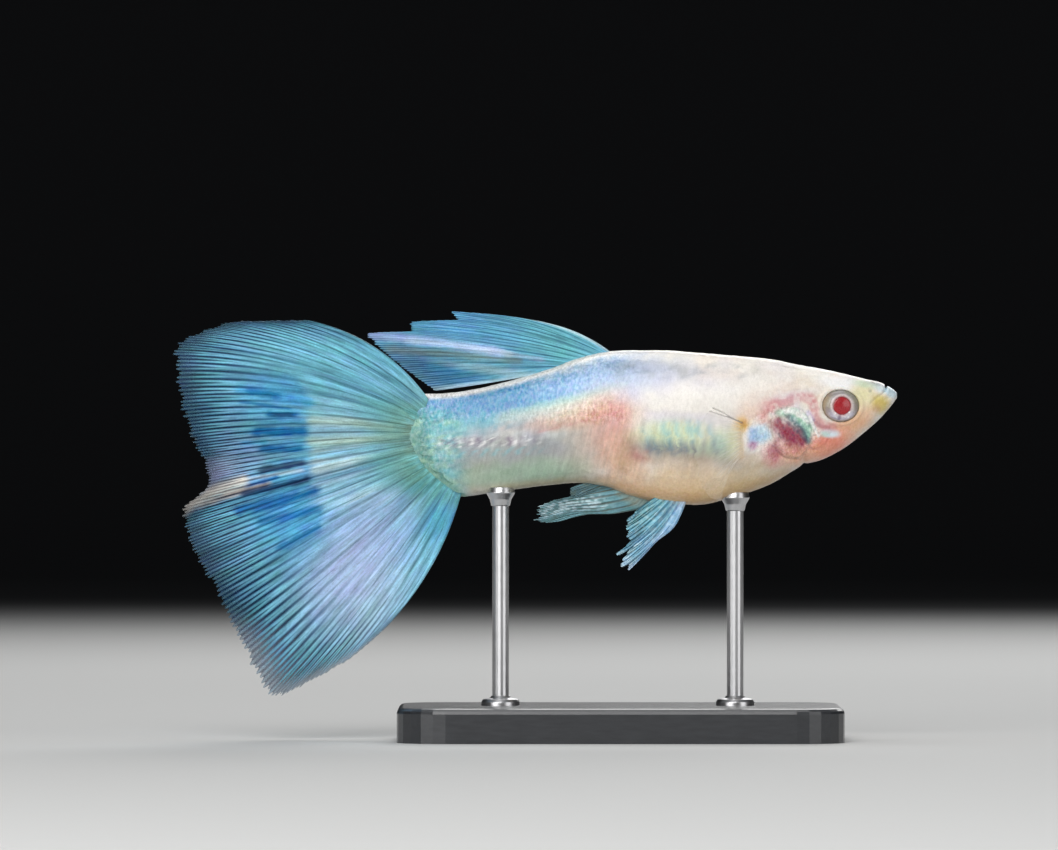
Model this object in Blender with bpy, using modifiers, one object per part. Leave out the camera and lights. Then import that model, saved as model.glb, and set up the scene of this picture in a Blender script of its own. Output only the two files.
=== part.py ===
"""A fancy guppy, a male with a delta tail, as a still life-size model on a plain display stand.

The fish faces +X and swims level. The floor is z = 0 and the origin is under the middle of the base.
Every size below is in millimetres, and mm() turns a point into metres.
"""

import math

import bmesh
import bpy
from mathutils import Matrix, Vector

for old in list(bpy.data.objects):
    bpy.data.objects.remove(old)

METRES = 0.001
GAP = 0.3

# The body's profile at each station along the fish, from the tail root to the lips:
# place, height of the back, height of the belly, half width.
BODY_STATIONS = (
    (-15.0, 24.92, 17.30, 0.45),
    (-13.4, 24.92, 17.42, 0.62),
    (-11.7, 25.05, 17.52, 0.86),
    (-8.2, 25.60, 18.00, 1.28),
    (-4.8, 26.57, 18.43, 1.68),
    (-3.0, 27.20, 18.56, 1.90),
    (-1.0, 27.80, 18.30, 2.16),
    (0.6, 28.05, 17.70, 2.42),
    (3.0, 28.05, 17.12, 2.78),
    (5.6, 27.87, 16.98, 3.00),
    (8.2, 27.66, 17.56, 2.94),
    (10.8, 27.42, 18.43, 2.72),
    (12.5, 27.08, 19.42, 2.54),
    (13.3, 26.92, 19.88, 2.44),
    (14.3, 26.78, 20.12, 2.28),
    (16.0, 26.42, 20.95, 1.96),
    (17.7, 26.00, 22.25, 1.52),
    (18.7, 25.78, 23.14, 1.18),
    (19.3, 25.50, 23.80, 0.92),
    (19.7, 25.26, 24.30, 0.66),
    (19.94, 25.02, 24.66, 0.32),
)
# How far up its depth a section is widest, and how square its back is: round is 2.
WIDEST_STATIONS = ((-15.0, 0.50), (-4.8, 0.52), (5.6, 0.54), (12.5, 0.58), (19.94, 0.56))
SQUARE_STATIONS = ((-15.0, 2.0), (5.6, 2.1), (12.5, 2.5), (17.0, 2.7), (19.94, 2.2))
BELLY_SQUARE = 2.05
RING_POINTS = 32

HEAD_REAR = 10.2
TRUNK_REAR = -4.7
HEAD_RINGS = 19
TRUNK_RINGS = 15
STALK_RINGS = 8

# The root of the tail fin is an arc: its top, its foot and how far it bulges to the rear.
TAIL_ROOT_TOP = -14.0
TAIL_ROOT_FOOT = -11.3
TAIL_ROOT_BULGE = 1.1

EYE_CENTRE = (15.77, 1.50, 24.08)
EYE_RADII = (1.40, 0.92, 1.30)
EYE_TOE_IN = math.radians(12)
EYE_RIM_RADIUS = 1.52
EYE_RIM_THICKNESS = 0.24
EYE_RIM_OUT = 0.42

NOSTRIL = (17.65, 0.85)
NOSTRIL_RADIUS = 0.20
NOSTRIL_DEPTH = 0.35
NOSTRIL_TILT = math.radians(30)

MOUTH_FRONT = (19.16, 25.29)
MOUTH_CORNER = (17.88, 24.28)
MOUTH_GAP = 0.26
JAW_CHIN = (17.72, 21.40)
UPPER_LIP_FRONT = (18.92, 25.42)
LOWER_LIP_FRONT = (19.66, 25.02)
LIP_RADIUS = 0.22

# The gill cover's outline is a half ellipse to the rear of its centre and a shorter one to the front.
GILL_CENTRE = (12.45, 22.15)
GILL_REAR = 1.60
GILL_FRONT = 1.25
GILL_HALF_HEIGHT = 1.80
GILL_THICKNESS = 0.60
GILL_RAISED = 0.12

# The tail fin's margin from the end of its top ray round to the end of its lowest one: t, x, z.
TAIL_MARGIN = (
    (0.00, -22.6, 30.25),
    (0.07, -27.4, 30.20),
    (0.14, -30.2, 29.45),
    (0.20, -32.2, 28.05),
    (0.28, -31.8, 24.60),
    (0.36, -30.9, 21.60),
    (0.43, -29.9, 19.60),
    (0.47, -29.8, 18.50),
    (0.52, -31.6, 16.45),
    (0.58, -31.2, 14.60),
    (0.68, -29.5, 11.20),
    (0.77, -27.4, 7.00),
    (0.86, -24.9, 3.05),
    (0.92, -21.9, 4.40),
    (0.96, -19.4, 5.90),
    (1.00, -16.9, 8.10),
)
TAIL_BOW = ((0.0, -1.05), (0.2, -1.15), (0.42, -0.20), (0.7, 0.10), (1.0, 0.75))
TAIL_WAVES = 2.6
TAIL_WAVE_HEIGHT = 0.75
TAIL_FOLD_AT = 0.50
TAIL_FOLD_WIDTH = 0.035
TAIL_FOLD_HEIGHT = 0.9

# The dorsal fin's margin from the end of its short first ray to the end of its last one: t, x, z.
DORSAL_MARGIN = (
    (0.00, -6.4, 30.20),
    (0.06, -9.2, 30.62),
    (0.13, -12.2, 30.85),
    (0.20, -11.8, 30.30),
    (0.33, -15.1, 30.10),
    (0.42, -15.2, 29.45),
    (0.58, -18.3, 29.30),
    (0.70, -17.3, 28.30),
    (0.84, -15.3, 26.95),
    (1.00, -13.2, 25.45),
)
DORSAL_FRONT = -0.30
DORSAL_REAR = -4.10
DORSAL_BOW = ((0.0, -0.14), (0.12, -0.42), (0.4, -0.50), (0.8, -0.15), (1.0, 0.10))
DORSAL_LEAN = 0.55

# The anal fin's margin: the long front rays, a notch, then the short rear rays: t, x, z.
ANAL_MARGIN = (
    (0.00, -4.3, 15.70),
    (0.16, -5.9, 15.62),
    (0.32, -6.3, 16.10),
    (0.46, -5.6, 16.85),
    (0.60, -4.4, 17.25),
    (0.74, -2.9, 17.50),
    (0.88, -3.5, 17.75),
    (1.00, -3.6, 18.12),
)
ANAL_FRONT = 1.45
ANAL_REAR = -1.40

# The pelvic fins' margin, from the long front rays to the short rear ones: t, x, z.
PELVIC_MARGIN = (
    (0.00, 0.70, 12.25),
    (0.20, 0.05, 12.40),
    (0.40, -0.20, 12.90),
    (0.55, 0.20, 13.75),
    (0.70, 0.75, 14.40),
    (0.85, 0.55, 15.30),
    (1.00, 0.75, 16.20),
)
PELVIC_FRONT = 4.85
PELVIC_REAR = 2.10
PELVIC_SIDE = 0.85
PELVIC_SPLAY = 1.1
LEFT_PELVIC_SWING = 0.10

# The pectoral fins' margin, from the top ray to the lowest one: t, x, z.
PECTORAL_MARGIN = (
    (0.00, 6.40, 24.20),
    (0.20, 5.45, 23.00),
    (0.45, 4.90, 20.80),
    (0.70, 5.20, 18.80),
    (0.88, 6.10, 17.10),
    (1.00, 7.10, 16.75),
)
PECTORAL_ROOT = 8.75
PECTORAL_ROOT_TOP = 22.5
PECTORAL_ROOT_FOOT = 20.5
PECTORAL_STAND_OFF = 0.85
PECTORAL_FLARE = 0.9

BASE_LENGTH = 32.0
BASE_WIDTH = 20.0
BASE_THICKNESS = 2.5
BASE_CORNER = 3.5
BASE_EDGE = 0.4
ROD_RADIUS = 0.6
ROD_PLACES = {"stand_rod_front": 8.3, "stand_rod_rear": -8.6}


def mm(point):
    return Vector(point) * METRES


def smooth(table, x, column=1):
    """The table's value at x, on a curve through its rows that never overshoots them."""
    xs = [row[0] for row in table]
    ys = [row[column] for row in table]
    if x <= xs[0]:
        return ys[0]
    if x >= xs[-1]:
        return ys[-1]
    slopes = [(ys[i + 1] - ys[i]) / (xs[i + 1] - xs[i]) for i in range(len(xs) - 1)]

    def tangent(i):
        if i == 0 or i == len(xs) - 1:
            return slopes[min(i, len(slopes) - 1)]
        before, after = slopes[i - 1], slopes[i]
        return 0.0 if before * after <= 0 else 2 * before * after / (before + after)

    i = next(k for k in range(len(slopes)) if x <= xs[k + 1])
    width = xs[i + 1] - xs[i]
    u = (x - xs[i]) / width
    return (
        (2 * u**3 - 3 * u**2 + 1) * ys[i]
        + (u**3 - 2 * u**2 + u) * width * tangent(i)
        + (3 * u**2 - 2 * u**3) * ys[i + 1]
        + (u**3 - u**2) * width * tangent(i + 1)
    )


def back(x):
    return smooth(BODY_STATIONS, x, 1)


def belly(x):
    return smooth(BODY_STATIONS, x, 2)


def section(x, sine, inset=0.0):
    """Half width and height of the body's section at x. sine runs from -1, the belly, to 1, the back."""
    top, low = back(x) - inset, belly(x) + inset
    half_width = max(smooth(BODY_STATIONS, x, 3) - inset, 0.02)
    middle = low + (top - low) * smooth(WIDEST_STATIONS, x)
    square = smooth(SQUARE_STATIONS, x) if sine > 0 else BELLY_SQUARE
    reach = top - middle if sine > 0 else middle - low
    rise = math.copysign(abs(sine) ** (2 / square), sine)
    cosine = math.sqrt(max(0.0, 1 - sine * sine))
    return half_width * cosine ** (2 / square), middle + reach * rise


def flank(x, z):
    """The body's half width at the height z of its section at x."""
    top, low = back(x), belly(x)
    middle = low + (top - low) * smooth(WIDEST_STATIONS, x)
    square = smooth(SQUARE_STATIONS, x) if z > middle else BELLY_SQUARE
    reach = top - middle if z > middle else middle - low
    share = min(1.0, abs(z - middle) / reach)
    return smooth(BODY_STATIONS, x, 3) * (1 - share**square) ** (1 / square)


def under(x, y):
    """The height of the body's underside at y from its middle plane."""
    top, low = back(x), belly(x)
    middle = low + (top - low) * smooth(WIDEST_STATIONS, x)
    share = min(1.0, abs(y) / smooth(BODY_STATIONS, x, 3))
    return middle - (middle - low) * (1 - share**BELLY_SQUARE) ** (1 / BELLY_SQUARE)


def over(x, y):
    """The height of the body's back at y from its middle plane."""
    top, low = back(x), belly(x)
    middle = low + (top - low) * smooth(WIDEST_STATIONS, x)
    square = smooth(SQUARE_STATIONS, x)
    share = min(1.0, abs(y) / smooth(BODY_STATIONS, x, 3))
    return middle + (top - middle) * (1 - share**square) ** (1 / square)


def tail_root(v, inset=0.0):
    """A point of the arc where the tail stalk ends. v runs from 0, its top, to 1, its foot."""
    x = TAIL_ROOT_TOP + (TAIL_ROOT_FOOT - TAIL_ROOT_TOP) * v * v
    x -= TAIL_ROOT_BULGE * math.sin(math.pi * v)
    half_width, z = section(x, 1 - 2 * v, inset)
    return x, half_width, z


def link(obj, collection):
    for old in obj.users_collection:
        old.objects.unlink(obj)
    collection.objects.link(obj)


def finish(obj, material):
    """Files the object with the fish's parts and gives it its material and smooth shading."""
    link(obj, PARTS)
    obj.data.materials.clear()
    obj.data.materials.append(material)
    obj.data.shade_smooth()
    return obj


def helper(obj):
    """Files the object with the cutters, out of the render."""
    link(obj, CUTTERS)
    obj.hide_render = True
    obj.display_type = "WIRE"
    return obj


def mesh_object(name, mesh):
    mesh.name = name
    obj = bpy.data.objects.new(name, mesh)
    bpy.context.scene.collection.objects.link(obj)
    return obj


def from_bmesh(name, bm):
    bmesh.ops.recalc_face_normals(bm, faces=bm.faces)
    mesh = bpy.data.meshes.new(name)
    bm.to_mesh(mesh)
    bm.free()
    return mesh_object(name, mesh)


def material(name, colour, roughness, metallic=0.0):
    made = bpy.data.materials.new(name)
    made.use_nodes = True
    shader = made.node_tree.nodes["Principled BSDF"]
    shader.inputs["Base Color"].default_value = (*colour, 1.0)
    shader.inputs["Roughness"].default_value = roughness
    shader.inputs["Metallic"].default_value = metallic
    return made


def boolean(obj, other, operation):
    made = obj.modifiers.new(operation.title(), "BOOLEAN")
    made.operation = operation
    made.object = other
    return obj


def loft(name, rings):
    """A closed skin over rings of equal length. Each ring starts at its right-hand side and goes over the back."""
    bm = bmesh.new()
    rows = [[bm.verts.new(mm(point)) for point in ring] for ring in rings]
    count = len(rows[0])
    for row, after in zip(rows, rows[1:]):
        for k in range(count):
            n = (k + 1) % count
            bm.faces.new((row[k], row[n], after[n], after[k]))
    for row in (rows[0], rows[-1]):
        half = count // 2
        for line in (row[: half + 1], [row[0]] + row[: half - 1 : -1]):
            for k in range(half // 2):
                corners = [line[k], line[k + 1], line[half - k - 1], line[half - k]]
                if k + 1 == half - k - 1:
                    corners.pop(2)
                bm.faces.new(corners)
    return from_bmesh(name, bm)


def body_ring(x, inset=0.0):
    ring = []
    for k in range(RING_POINTS):
        angle = 2 * math.pi * k / RING_POINTS
        half_width, z = section(x, math.sin(angle), inset)
        ring.append((x, math.copysign(half_width, -math.cos(angle)), z))
    return ring


def body_length(name, start, end, rings, inset=0.0, crowd=1.0):
    """A length of the body. crowd above 1 sets the rings closer towards the end."""
    places = [start + (end - start) * (1 - (1 - k / (rings - 1)) ** crowd) for k in range(rings)]
    return loft(name, [body_ring(x, inset) for x in places])


def tail_stalk():
    """The length of the body behind the trunk, which ends in the arc that carries the tail fin."""
    rings = []
    for i in range(STALK_RINGS):
        u = i / (STALK_RINGS - 1)
        ring = []
        for k in range(RING_POINTS):
            angle = 2 * math.pi * k / RING_POINTS
            sine = math.sin(angle)
            end = tail_root(0.5 - 0.5 * sine)[0]
            x = TRUNK_REAR - GAP / 2 + (end - TRUNK_REAR + GAP / 2) * u
            half_width, z = section(x, sine)
            ring.append((x, math.copysign(half_width, -math.cos(angle)), z))
        rings.append(ring)
    return finish(loft("tail_stalk", rings), FLESH_BLUE)


def prism(name, outline, half_width):
    """A flat outline in the fish's side view, as a solid across it."""
    curve = bpy.data.curves.new(name, "CURVE")
    curve.dimensions = "2D"
    curve.fill_mode = "BOTH"
    curve.extrude = half_width * METRES
    spline = curve.splines.new("POLY")
    spline.points.add(len(outline) - 1)
    for point, (x, z) in zip(spline.points, outline):
        point.co = (x * METRES, z * METRES, 0, 1)
    spline.use_cyclic_u = True
    obj = bpy.data.objects.new(name, curve)
    bpy.context.scene.collection.objects.link(obj)
    obj.rotation_euler = (math.radians(90), 0, 0)
    return as_mesh(obj)


def as_mesh(obj):
    """A curve object made a closed mesh in the same place."""
    bpy.context.view_layer.update()
    evaluated = obj.evaluated_get(bpy.context.evaluated_depsgraph_get())
    mesh = bpy.data.meshes.new_from_object(evaluated)
    bm = bmesh.new()
    bm.from_mesh(mesh)
    bm.transform(obj.matrix_world)
    bmesh.ops.remove_doubles(bm, verts=bm.verts, dist=0.002 * METRES)
    name = obj.name
    bpy.data.objects.remove(obj)
    return from_bmesh(name, bm)


def tube(name, points, radius):
    curve = bpy.data.curves.new(name, "CURVE")
    curve.dimensions = "3D"
    curve.bevel_depth = radius * METRES
    curve.bevel_resolution = 2
    curve.use_fill_caps = True
    spline = curve.splines.new("POLY")
    spline.points.add(len(points) - 1)
    for point, place in zip(spline.points, points):
        point.co = (*mm(place), 1)
    obj = bpy.data.objects.new(name, curve)
    bpy.context.scene.collection.objects.link(obj)
    return as_mesh(obj)


def ellipsoid(name, centre, radii, turn, segments, rings):
    bm = bmesh.new()
    bmesh.ops.create_uvsphere(bm, u_segments=segments, v_segments=rings, radius=1.0)
    bm.transform(Matrix.Rotation(math.radians(90), 4, "X"))
    bm.transform(Matrix.Diagonal((*mm(radii), 1)))
    bm.transform(Matrix.Translation(mm(centre)) @ Matrix.Rotation(turn, 4, "Z"))
    return from_bmesh(name, bm)


def eye_place(side, out=0.0):
    """The eye's centre moved outwards along its own axis, and its turn. side is -1 on the right, 1 on the left."""
    turn = -side * EYE_TOE_IN
    x, y, z = EYE_CENTRE
    return (x + out * math.sin(EYE_TOE_IN), side * (y + out * math.cos(EYE_TOE_IN)), z), turn


def eye(name, side):
    centre, turn = eye_place(side)
    return finish(ellipsoid(name, centre, EYE_RADII, turn, 24, 12), EYE_RED)


def lip(name, front, rise):
    """A bead round one jaw from its front to the corners of the mouth, which it meets rise above the mouth line."""
    points = []
    steps = 7
    for k in range(-steps, steps + 1):
        turn = abs(k) / steps * math.pi / 2
        x = MOUTH_CORNER[0] + (front[0] - MOUTH_CORNER[0]) * math.cos(turn)
        z = MOUTH_CORNER[1] + rise + (front[1] - MOUTH_CORNER[1] - rise) * math.cos(turn)
        y = (flank(x, z) - LIP_RADIUS * 0.5) * math.sin(turn) ** 0.6
        points.append((x, math.copysign(y, k), z))
    return tube(name, points, LIP_RADIUS)


def jaw_outline(grow):
    """The side view of the space below and ahead of the mouth line, moved out by grow above and behind."""
    run = Vector(MOUTH_FRONT) - Vector(MOUTH_CORNER)
    up = Vector((-run.y, run.x)).normalized() * grow
    corner = Vector(MOUTH_CORNER) + up - Vector((grow, 0))
    front = Vector(MOUTH_FRONT) + up + run * 1.5
    return [corner, front, (24.0, 18.0), (JAW_CHIN[0] - grow, 18.0), (JAW_CHIN[0] - grow, JAW_CHIN[1])]


def head():
    """The head, with its eye rims, upper lip, nostrils and the seats of the eyes, gill covers and lower jaw."""
    obj = body_length("head", HEAD_REAR, BODY_STATIONS[-1][0], HEAD_RINGS, crowd=1.7)
    for side in (-1, 1):
        centre, turn = eye_place(side, EYE_RIM_OUT)
        rim = helper(torus("eye_rim", centre, turn))
        boolean(obj, rim, "UNION")
    boolean(obj, helper(lip("upper_lip", UPPER_LIP_FRONT, LIP_RADIUS)), "UNION")
    for side in (-1, 1):
        centre, turn = eye_place(side)
        seat = ellipsoid("eye_seat", centre, [r + GAP for r in EYE_RADII], turn, 24, 12)
        boolean(obj, helper(seat), "DIFFERENCE")
        boolean(obj, helper(nostril(side)), "DIFFERENCE")
        boolean(obj, helper(gill_seat(side)), "DIFFERENCE")
    boolean(obj, helper(prism("jaw_seat", jaw_outline(MOUTH_GAP / 2), 4.0)), "DIFFERENCE")
    return finish(obj, FLESH_PALE)


def torus(name, centre, turn):
    bpy.ops.mesh.primitive_torus_add(
        major_segments=28,
        minor_segments=6,
        major_radius=EYE_RIM_RADIUS * METRES,
        minor_radius=EYE_RIM_THICKNESS * METRES,
        location=(0, 0, 0),
    )
    obj = bpy.context.object
    obj.name = name
    obj.data.transform(Matrix.Rotation(math.radians(90), 4, "X"))
    obj.data.transform(Matrix.Diagonal((1, 1, EYE_RADII[2] / EYE_RADII[0], 1)))
    obj.data.transform(Matrix.Translation(mm(centre)) @ Matrix.Rotation(turn, 4, "Z"))
    return obj


def nostril(side):
    """A pit cut square to the top of the snout."""
    bm = bmesh.new()
    bmesh.ops.create_cone(
        bm,
        cap_ends=True,
        segments=12,
        radius1=NOSTRIL_RADIUS * METRES * 0.7,
        radius2=NOSTRIL_RADIUS * METRES,
        depth=2 * NOSTRIL_DEPTH * METRES,
    )
    x, y = NOSTRIL
    place = mm((x, side * y, over(x, y)))
    bm.transform(Matrix.Translation(place) @ Matrix.Rotation(-side * NOSTRIL_TILT, 4, "X"))
    return from_bmesh("nostril", bm)


def gill_outline(grow):
    """The gill cover in side view, blunt towards the eye and long towards the tail."""
    outline = []
    for k in range(28):
        angle = 2 * math.pi * k / 28
        reach = GILL_FRONT if math.cos(angle) > 0 else GILL_REAR
        x = GILL_CENTRE[0] + (reach + grow) * math.cos(angle)
        outline.append((x, GILL_CENTRE[1] + (GILL_HALF_HEIGHT + grow) * math.sin(angle)))
    return outline


def gill_block(name, side, grow, inset):
    """The space on one side of the head inside the gill cover's outline and outside the body shrunk by inset."""
    block = prism(name, gill_outline(grow), 2.0)
    block.data.transform(Matrix.Translation(mm((0, side * 3.0, 0))))
    core = helper(body_length(name + "_core", HEAD_REAR - 2, 16.0, 10, inset))
    return boolean(block, core, "DIFFERENCE")


def gill_seat(side):
    return gill_block("gill_seat", side, GAP, GILL_THICKNESS + GAP)


def gill_cover(name, side):
    """A thin plate that follows the head's side and stands a little proud of it."""
    plate = gill_block(name, side, 0.0, GILL_THICKNESS)
    outside = helper(body_length(name + "_outside", HEAD_REAR - 2, 16.0, 10, -GILL_RAISED))
    return finish(boolean(plate, outside, "INTERSECT"), FLESH_GILL)


def lower_jaw():
    """The jaw below the mouth line, with its lip."""
    obj = body_length("lower_jaw", MOUTH_CORNER[0] - 2.0, BODY_STATIONS[-1][0], 12, crowd=1.7)
    boolean(obj, helper(lip("lower_lip", LOWER_LIP_FRONT, -LIP_RADIUS)), "UNION")
    boolean(obj, helper(prism("jaw_space", jaw_outline(-MOUTH_GAP / 2), 4.0)), "INTERSECT")
    return finish(obj, FLESH_JAW)


class Fan:
    """A fin whose rays spread from a root line to a margin, each ray forking once on its way."""

    def __init__(self, rays, rows, root_half, margin_half, ridge, fork, notch):
        self.rays = rays
        self.rows = rows
        self.root_half = root_half
        self.margin_half = margin_half
        self.ridge = ridge
        self.fork = fork
        self.notch = notch

    def half_thickness(self, column, s):
        """Half the fin's thickness: a ridge on each ray, and past the fork on each of its two branches."""
        phase = column % 4
        whole = (1.0, 0.45, 0.0, 0.45)[phase]
        forked = (0.0, 1.0, 0.0, 1.0)[phase]
        past = min(1.0, max(0.0, (s - self.fork) / 0.12))
        ridge = self.ridge * (1 - 0.5 * s) * (whole + (forked - whole) * past)
        return self.root_half + (self.margin_half - self.root_half) * s + ridge

    def solid(self, name, place, paint):
        """The fin as a sheet given its thickness. place(t, s) is a point: t runs across the rays, s along them."""
        columns = 4 * (self.rays - 1) + 2
        bm = bmesh.new()
        sheet, halves = [], []
        for i in range(self.rows + 1):
            row = []
            for j in range(columns + 1):
                column = j - 1
                reach = 1.0 if column % 2 else 1.0 - self.notch
                s = i / self.rows * reach
                row.append(bm.verts.new(mm(place(j / columns, s))))
                halves.append(self.half_thickness(column, s))
            sheet.append(row)
        for low, high in zip(sheet, sheet[1:]):
            for j in range(columns):
                bm.faces.new((low[j], low[j + 1], high[j + 1], high[j]))
        bmesh.ops.triangulate(bm, faces=bm.faces, quad_method="SHORT_EDGE")
        mesh = bpy.data.meshes.new(name)
        bm.to_mesh(mesh)
        bm.free()
        obj = mesh_object(name, mesh)
        most = max(halves)
        group = obj.vertex_groups.new(name="thickness")
        for index, half in enumerate(halves):
            group.add([index], half / most, "REPLACE")
        solidify = obj.modifiers.new("Thickness", "SOLIDIFY")
        solidify.thickness = 2 * most * METRES
        solidify.offset = 0.0
        solidify.vertex_group = group.name
        return finish(obj, paint)


def path(table, t):
    """The point (x, z) at t on a smooth line through rows of (t, x, z)."""
    return smooth(table, t, 1), smooth(table, t, 2)


def spread(root, end, s, bow):
    """The point s of the way along a ray that bows to the side of its chord."""
    run_x, run_z = end[0] - root[0], end[1] - root[1]
    length = math.hypot(run_x, run_z)
    aside = 4 * bow * s * (1 - s)
    return root[0] + run_x * s - run_z / length * aside, root[1] + run_z * s + run_x / length * aside


def tail_fin_point(t, s):
    """The delta tail: a fan in the fish's middle plane, with soft waves and one pleat in the middle."""
    v = 0.03 + 0.94 * t
    step = 0.01
    x, _, z = tail_root(v)
    ahead, behind = tail_root(v + step), tail_root(v - step)
    run_x, run_z = ahead[0] - behind[0], ahead[2] - behind[2]
    length = math.hypot(run_x, run_z)
    root = (x + run_z / length * GAP, z - run_x / length * GAP)
    x, z = spread(root, path(TAIL_MARGIN, t), s, smooth(TAIL_BOW, t))
    wave = TAIL_WAVE_HEIGHT * math.sin(2 * math.pi * TAIL_WAVES * t)
    fold = TAIL_FOLD_HEIGHT * math.exp(-(((t - TAIL_FOLD_AT) / TAIL_FOLD_WIDTH) ** 2))
    return x, (wave - fold) * s**1.6, z


def dorsal_fin_point(t, s):
    """The dorsal fin: rooted along the back and laid towards the tail, its rear leaning a little to the left."""
    x = DORSAL_FRONT + (DORSAL_REAR - DORSAL_FRONT) * t
    root = (x, back(x) + GAP)
    x, z = spread(root, path(DORSAL_MARGIN, t), s, smooth(DORSAL_BOW, t))
    return x, DORSAL_LEAN * s * s * math.sin(math.pi * (0.15 + 0.8 * t)), z


def anal_fin_point(t, s):
    """The anal fin, drawn out to a long narrow organ that lies back under the tail stalk."""
    x = ANAL_FRONT + (ANAL_REAR - ANAL_FRONT) * t**0.8
    root = (x, belly(x) - GAP)
    x, z = spread(root, path(ANAL_MARGIN, t), s, 0.25 - 0.35 * t)
    return x, 0.12 * math.sin(5 * t) * s, z


def pelvic_fin_point(side):
    def place(t, s):
        x = PELVIC_FRONT + (PELVIC_REAR - PELVIC_FRONT) * t
        root = (x, under(x, PELVIC_SIDE) - GAP)
        end = path(PELVIC_MARGIN, t)
        if side > 0:
            run_x, run_z = end[0] - root[0], end[1] - root[1]
            end = (root[0] + run_x + run_z * LEFT_PELVIC_SWING, root[1] + run_z - run_x * LEFT_PELVIC_SWING)
        x, z = spread(root, end, s, 0.5 - 0.6 * t)
        return x, side * (PELVIC_SIDE + PELVIC_SPLAY * s), z

    return place


def pectoral_fin_point(side):
    def place(t, s):
        root_z = PECTORAL_ROOT_TOP + (PECTORAL_ROOT_FOOT - PECTORAL_ROOT_TOP) * t
        root = (PECTORAL_ROOT, root_z)
        turned = s - 0.10 * (1 - math.exp(-s / 0.08))
        x, z = spread(root, path(PECTORAL_MARGIN, t), turned, 0.2 - 0.5 * t)
        out = flank(PECTORAL_ROOT, root_z) + GAP
        out += PECTORAL_STAND_OFF * (1 - math.exp(-s / 0.12)) + PECTORAL_FLARE * s
        return x, side * out, z

    return place


def stand_base():
    bm = bmesh.new()
    bmesh.ops.create_cube(bm, size=1.0)
    bm.transform(Matrix.Diagonal((*mm((BASE_LENGTH, BASE_WIDTH, BASE_THICKNESS)), 1)))
    bm.transform(Matrix.Translation(mm((0, 0, BASE_THICKNESS / 2))))
    posts = [e for e in bm.edges if abs(e.verts[0].co.z - e.verts[1].co.z) > METRES]
    bmesh.ops.bevel(bm, geom=posts, offset=BASE_CORNER * METRES, segments=6, profile=0.5, affect="EDGES")
    top = BASE_THICKNESS * METRES
    rim = [
        e
        for e in bm.edges
        if all(abs(v.co.z - top) < METRES / 100 for v in e.verts)
        and any(abs(f.normal.z) < 0.5 for f in e.link_faces)
    ]
    bmesh.ops.bevel(bm, geom=rim, offset=BASE_EDGE * METRES, segments=3, profile=0.5, affect="EDGES")
    return finish(from_bmesh("stand_base", bm), STAND_DARK)


def stand_rod(name, x):
    """A rod from the base up to the belly, its end shaped to the belly with the gap left between."""
    low = BASE_THICKNESS + GAP
    high = belly(x) + 1.2
    bm = bmesh.new()
    bmesh.ops.create_cone(
        bm,
        cap_ends=True,
        segments=20,
        radius1=ROD_RADIUS * METRES,
        radius2=ROD_RADIUS * METRES,
        depth=(high - low) * METRES,
    )
    bm.transform(Matrix.Translation(mm((x, 0, (low + high) / 2))))
    rod = from_bmesh(name, bm)
    around = helper(body_length(name + "_clearance", x - 2.5, x + 2.5, 9, -GAP))
    return finish(boolean(rod, around, "DIFFERENCE"), STAND_STEEL)


PARTS = bpy.data.collections.new("fancy_guppy")
CUTTERS = bpy.data.collections.new("cutters")
for collection in (PARTS, CUTTERS):
    bpy.context.scene.collection.children.link(collection)

FLESH_PALE = material("pearl_skin", (0.86, 0.80, 0.72), 0.35)
FLESH_BLUE = material("blue_skin", (0.36, 0.55, 0.62), 0.35)
FLESH_JAW = material("jaw_skin", (0.72, 0.66, 0.40), 0.4)
FLESH_GILL = material("gill_cover_skin", (0.58, 0.34, 0.36), 0.3)
EYE_RED = material("red_eye", (0.45, 0.03, 0.04), 0.1)
FIN_BLUE = material("blue_fin", (0.25, 0.52, 0.72), 0.4)
FIN_CLEAR = material("clear_fin", (0.80, 0.80, 0.70), 0.3)
STAND_DARK = material("dark_base", (0.03, 0.03, 0.035), 0.3)
STAND_STEEL = material("steel_rod", (0.60, 0.60, 0.62), 0.25, 1.0)

head()
lower_jaw()
finish(
    body_length("trunk", TRUNK_REAR + GAP / 2, HEAD_REAR - GAP, TRUNK_RINGS),
    FLESH_PALE,
)
tail_stalk()
for side_name, side in (("right", -1), ("left", 1)):
    eye(f"eye_{side_name}", side)
    gill_cover(f"gill_cover_{side_name}", side)
    Fan(5, 7, 0.30, 0.20, 0.10, 0.5, 0.05).solid(f"pelvic_fin_{side_name}", pelvic_fin_point(side), FIN_BLUE)
    Fan(6, 8, 0.25, 0.20, 0.08, 0.5, 0.05).solid(f"pectoral_fin_{side_name}", pectoral_fin_point(side), FIN_CLEAR)
Fan(19, 13, 0.42, 0.22, 0.14, 0.38, 0.03).solid("tail_fin", tail_fin_point, FIN_BLUE)
Fan(8, 11, 0.32, 0.22, 0.12, 0.45, 0.03).solid("dorsal_fin", dorsal_fin_point, FIN_BLUE)
Fan(5, 8, 0.30, 0.20, 0.10, 0.5, 0.05).solid("anal_fin", anal_fin_point, FIN_BLUE)
stand_base()
for rod_name, rod_x in ROD_PLACES.items():
    stand_rod(rod_name, rod_x)
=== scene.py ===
"""The looks of a fancy guppy, a male with a pale blue delta tail, on a plain display stand.

The fish faces +X and its near side is -Y. Sizes and places below are in millimetres, and MM turns
them into metres. The body follows the stations of its solids, and stands a little higher under the
dorsal fin.
"""

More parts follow.
